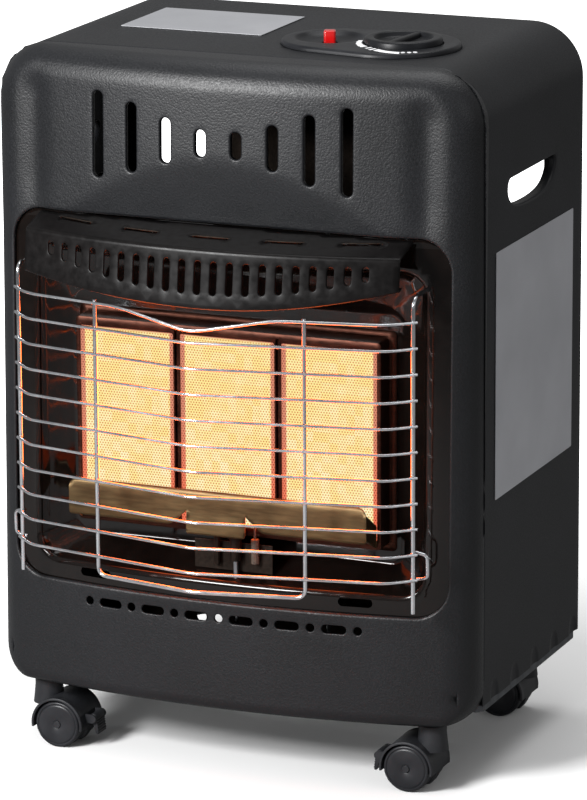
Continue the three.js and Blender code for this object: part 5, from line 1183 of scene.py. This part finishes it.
def brake_lever(tag, x, y, towards):
    """Lever with a round knuckle and a pad whose outer face is ribbed; the side outline is carried across
    Y with rounded flanks."""
    knuckle_r, rib_pitch, rib_height, middle = 3.55, 2.1, 0.28, np.array([towards, -4.0])
    heights = np.linspace(-1.2, -11.6, 22)
    ribs = rib_height * np.cos(2 * np.pi * heights / rib_pitch)
    face = knuckle_r - (5.0 - knuckle_r) * heights / 12.0 + ribs - 0.3
    tip = [(4.6, -12.5), (3.9, -13.0), (2.9, -12.9), (2.2, -12.3)]
    inner = [(1.4, -8.5), (0.2, -5.2), (-1.0, -3.5), (-2.9, -2.0)]
    knuckle = arc(0, 0, knuckle_r, 150, -10, 14)
    outline = np.concatenate([knuckle, columns(face, heights), tip, inner]) * [towards, 1]
    rings = []
    for dy, shrink in ((-7.45, 0.35), (-7.3, 0.12), (-6.9, 0), (6.9, 0), (7.3, 0.12), (7.45, 0.35)):
        shape = middle + (outline - middle) * (1 - shrink / 6)
        rings.append(upright(shape + [x + towards * HINGE_OUT, HINGE_Z], y + dy))
    make_piece(f"brake_pad_{tag}", skin(rings, caps=True), HOUSING, body=f"brake_{tag}",
               stands_for=[f"brake_lever_{tag}"], facing="out", crease=42)


front_cover()
cabinet_wrap()
enamel_pan()
visor_sheet()
wire_guard()
for plaque_tag, plaque_x in (("left", -PLAQUE_PITCH), ("middle", 0.0), ("right", PLAQUE_PITCH)):
    plaque_piece(plaque_tag, plaque_x)
plaque_frame()
flame_shield()
inner_plate()
control_bezel()
dial_marks()
control_knob()
igniter_button()
rear_panel()
for castor_tag, stem_x, stem_y, way, has_brake in CASTORS:
    castor_mount(castor_tag, stem_x, stem_y)
    castor_hood(castor_tag, stem_x, stem_y, way, has_brake)
    castor_wheel("a", castor_tag, stem_x, stem_y, way, -1)
    castor_wheel("b", castor_tag, stem_x, stem_y, way, 1)
    if has_brake:
        brake_lever(castor_tag, stem_x, stem_y, way)

# CAD nodes that stay: welded, softened by a bevel, each with its own finish
NODE_FINISH = {
    "base_tray": GALVANISED, "burner_left": SCALED, "burner_middle": SCALED, "burner_right": SCALED,
    "gas_manifold": SCALED, "pilot_burner": SCALED, "thermo_probe": SCALED, "spark_pin": PORCELAIN,
    "gas_valve": CAST, "valve_drum": BRASS, "valve_spindle": ZINC, "igniter_body": PANEL,
    "feed_pipe": TUBE,
    "inlet_pipe": TUBE, "pilot_pipe": TUBE, "inlet_fitting": BRASS, "tip_switch": PANEL,
    "side_label": FOIL, "top_label": FOIL_GREY,
}
for node_name, finish in NODE_FINISH.items():
    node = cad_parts[node_name]
    node.data.materials.clear()
    node.data.materials.append(finish)
    weld = node.modifiers.new("weld", "WELD")
    weld.merge_threshold = 0.01 * MM
    if "label" not in node_name:
        edge = node.modifiers.new("edge", "BEVEL")
        edge.width = 0.3 * MM
        edge.segments = 2
        edge.limit_method = "ANGLE"
        edge.angle_limit = math.radians(40)
        edge.harden_normals = False


# Floor, light and camera

FLOOR_SEEN, FLOOR_FAR, FLOOR_GIVEN, WORLD_GIVEN, FIRE_POWER = 0.9, 4.0, 0.3, 0.35, 0.6
LAMPS = (
    ("key_softbox", (-0.5, -1.28, 0.9), (-0.03, -0.1, 0.48), 0.45, 40.0),
    ("top_softbox", (0.1, 0.4, 2.6), (0, 0, 0.5), 1.8, 34.0),
    ("right_softbox", (2.2, -0.9, 1.2), (0, 0, 0.4), 0.8, 3.0),
)


def seen_directly(tree):
    """1 for rays from the camera and for refracted rays, 0 for the rest."""
    path = add(tree, "LightPath").outputs
    return add(tree, "Math", {0: path["Is Camera Ray"], 1: path["Is Transmission Ray"]},
               operation="MAXIMUM").outputs[0]


def area_lamp(name, spot, towards, power):
    """Area lamp at spot in metres that shines along towards."""
    lamp = bpy.data.lights.new(name, "AREA")
    lamp.energy = power
    holder = bpy.data.objects.new(name, lamp)
    bpy.context.scene.collection.objects.link(holder)
    holder.location = spot
    holder.rotation_euler = towards.to_track_quat("-Z", "Y").to_euler()
    return lamp


def studio():
    """White floor that keeps the shadow and grows paler with distance, white surround, soft lamps and the
    glow of the fire. Floor and surround look white to the camera and give the object less light than
    that."""
    bpy.ops.mesh.primitive_plane_add(size=14)
    floor = bpy.context.object
    floor.name = "studio_floor"
    material = bpy.data.materials.new("matt_white_floor")
    world = bpy.data.worlds.new("studio")
    for made in (material, world):
        made.use_nodes = True
        made.node_tree.nodes.clear()
    tree = material.node_tree
    where = add(tree, "TexCoord").outputs["Object"]
    away = add(tree, "VectorMath", {0: where}, operation="LENGTH").outputs["Value"]
    paper = add(tree, "MapRange", {"Value": away, "From Min": 0.35, "From Max": 1.6,
                                   "To Min": FLOOR_SEEN, "To Max": FLOOR_FAR}).outputs[0]
    shade = add(tree, "MapRange", {"Value": seen_directly(tree), "To Min": FLOOR_GIVEN,
                                   "To Max": paper}).outputs[0]
    tone = add(tree, "CombineColor", {0: shade, 1: shade, 2: shade}).outputs[0]
    matt = add(tree, "BsdfDiffuse", {"Color": tone}).outputs[0]
    add(tree, "OutputMaterial", {"Surface": matt})
    floor.data.materials.append(material)
    bpy.context.scene.world = world
    tree = world.node_tree
    strength = add(tree, "MapRange", {"Value": seen_directly(tree), "To Min": WORLD_GIVEN, "To Max": 1.0})
    sky = add(tree, "Background", {"Color": (1, 1, 1, 1), "Strength": strength.outputs[0]})
    add(tree, "OutputWorld", {"Surface": sky.outputs[0]})
    for name, spot, aim, size, power in LAMPS:
        area_lamp(name, spot, Vector(aim) - Vector(spot), power).size = size
    for name, x in (("fire_left", -PLAQUE_PITCH), ("fire_middle", 0.0), ("fire_right", PLAQUE_PITCH)):
        lamp = area_lamp(name, place([x, -30.5, PLAQUE_Z]), Vector((0, -1, 0)), FIRE_POWER)
        lamp.shape = "RECTANGLE"
        lamp.size, lamp.size_y = 0.074, 0.148
        lamp.color = colour("#ff5a14")[:3]
        bpy.data.objects[name].visible_camera = False


def camera():
    """Long lens at the photograph's viewing angle: turned left of the front by yaw, tipped down by
    pitch."""
    yaw, pitch, roll = (math.radians(v) for v in (22.630, 14.384, -0.301))
    ahead = Vector((-math.sin(yaw) * math.cos(pitch), math.cos(yaw) * math.cos(pitch), -math.sin(pitch)))
    right = Vector((math.cos(yaw), math.sin(yaw), 0))
    up = right.cross(ahead)
    turned_right = math.cos(roll) * right + math.sin(roll) * up
    turned_up = -math.sin(roll) * right + math.cos(roll) * up
    data = bpy.data.cameras.new("camera")
    data.lens = 219.9
    data.sensor_width = 36.0
    data.clip_end = 50
    holder = bpy.data.objects.new("camera", data)
    bpy.context.scene.collection.objects.link(holder)
    axes = Matrix((turned_right, turned_up, -ahead)).transposed().to_4x4()
    holder.matrix_world = Matrix.Translation((1.4424, -3.4186, 1.2272)) @ axes
    bpy.context.scene.camera = holder


studio()
camera()
bpy.context.scene.view_settings.view_transform = "Standard"
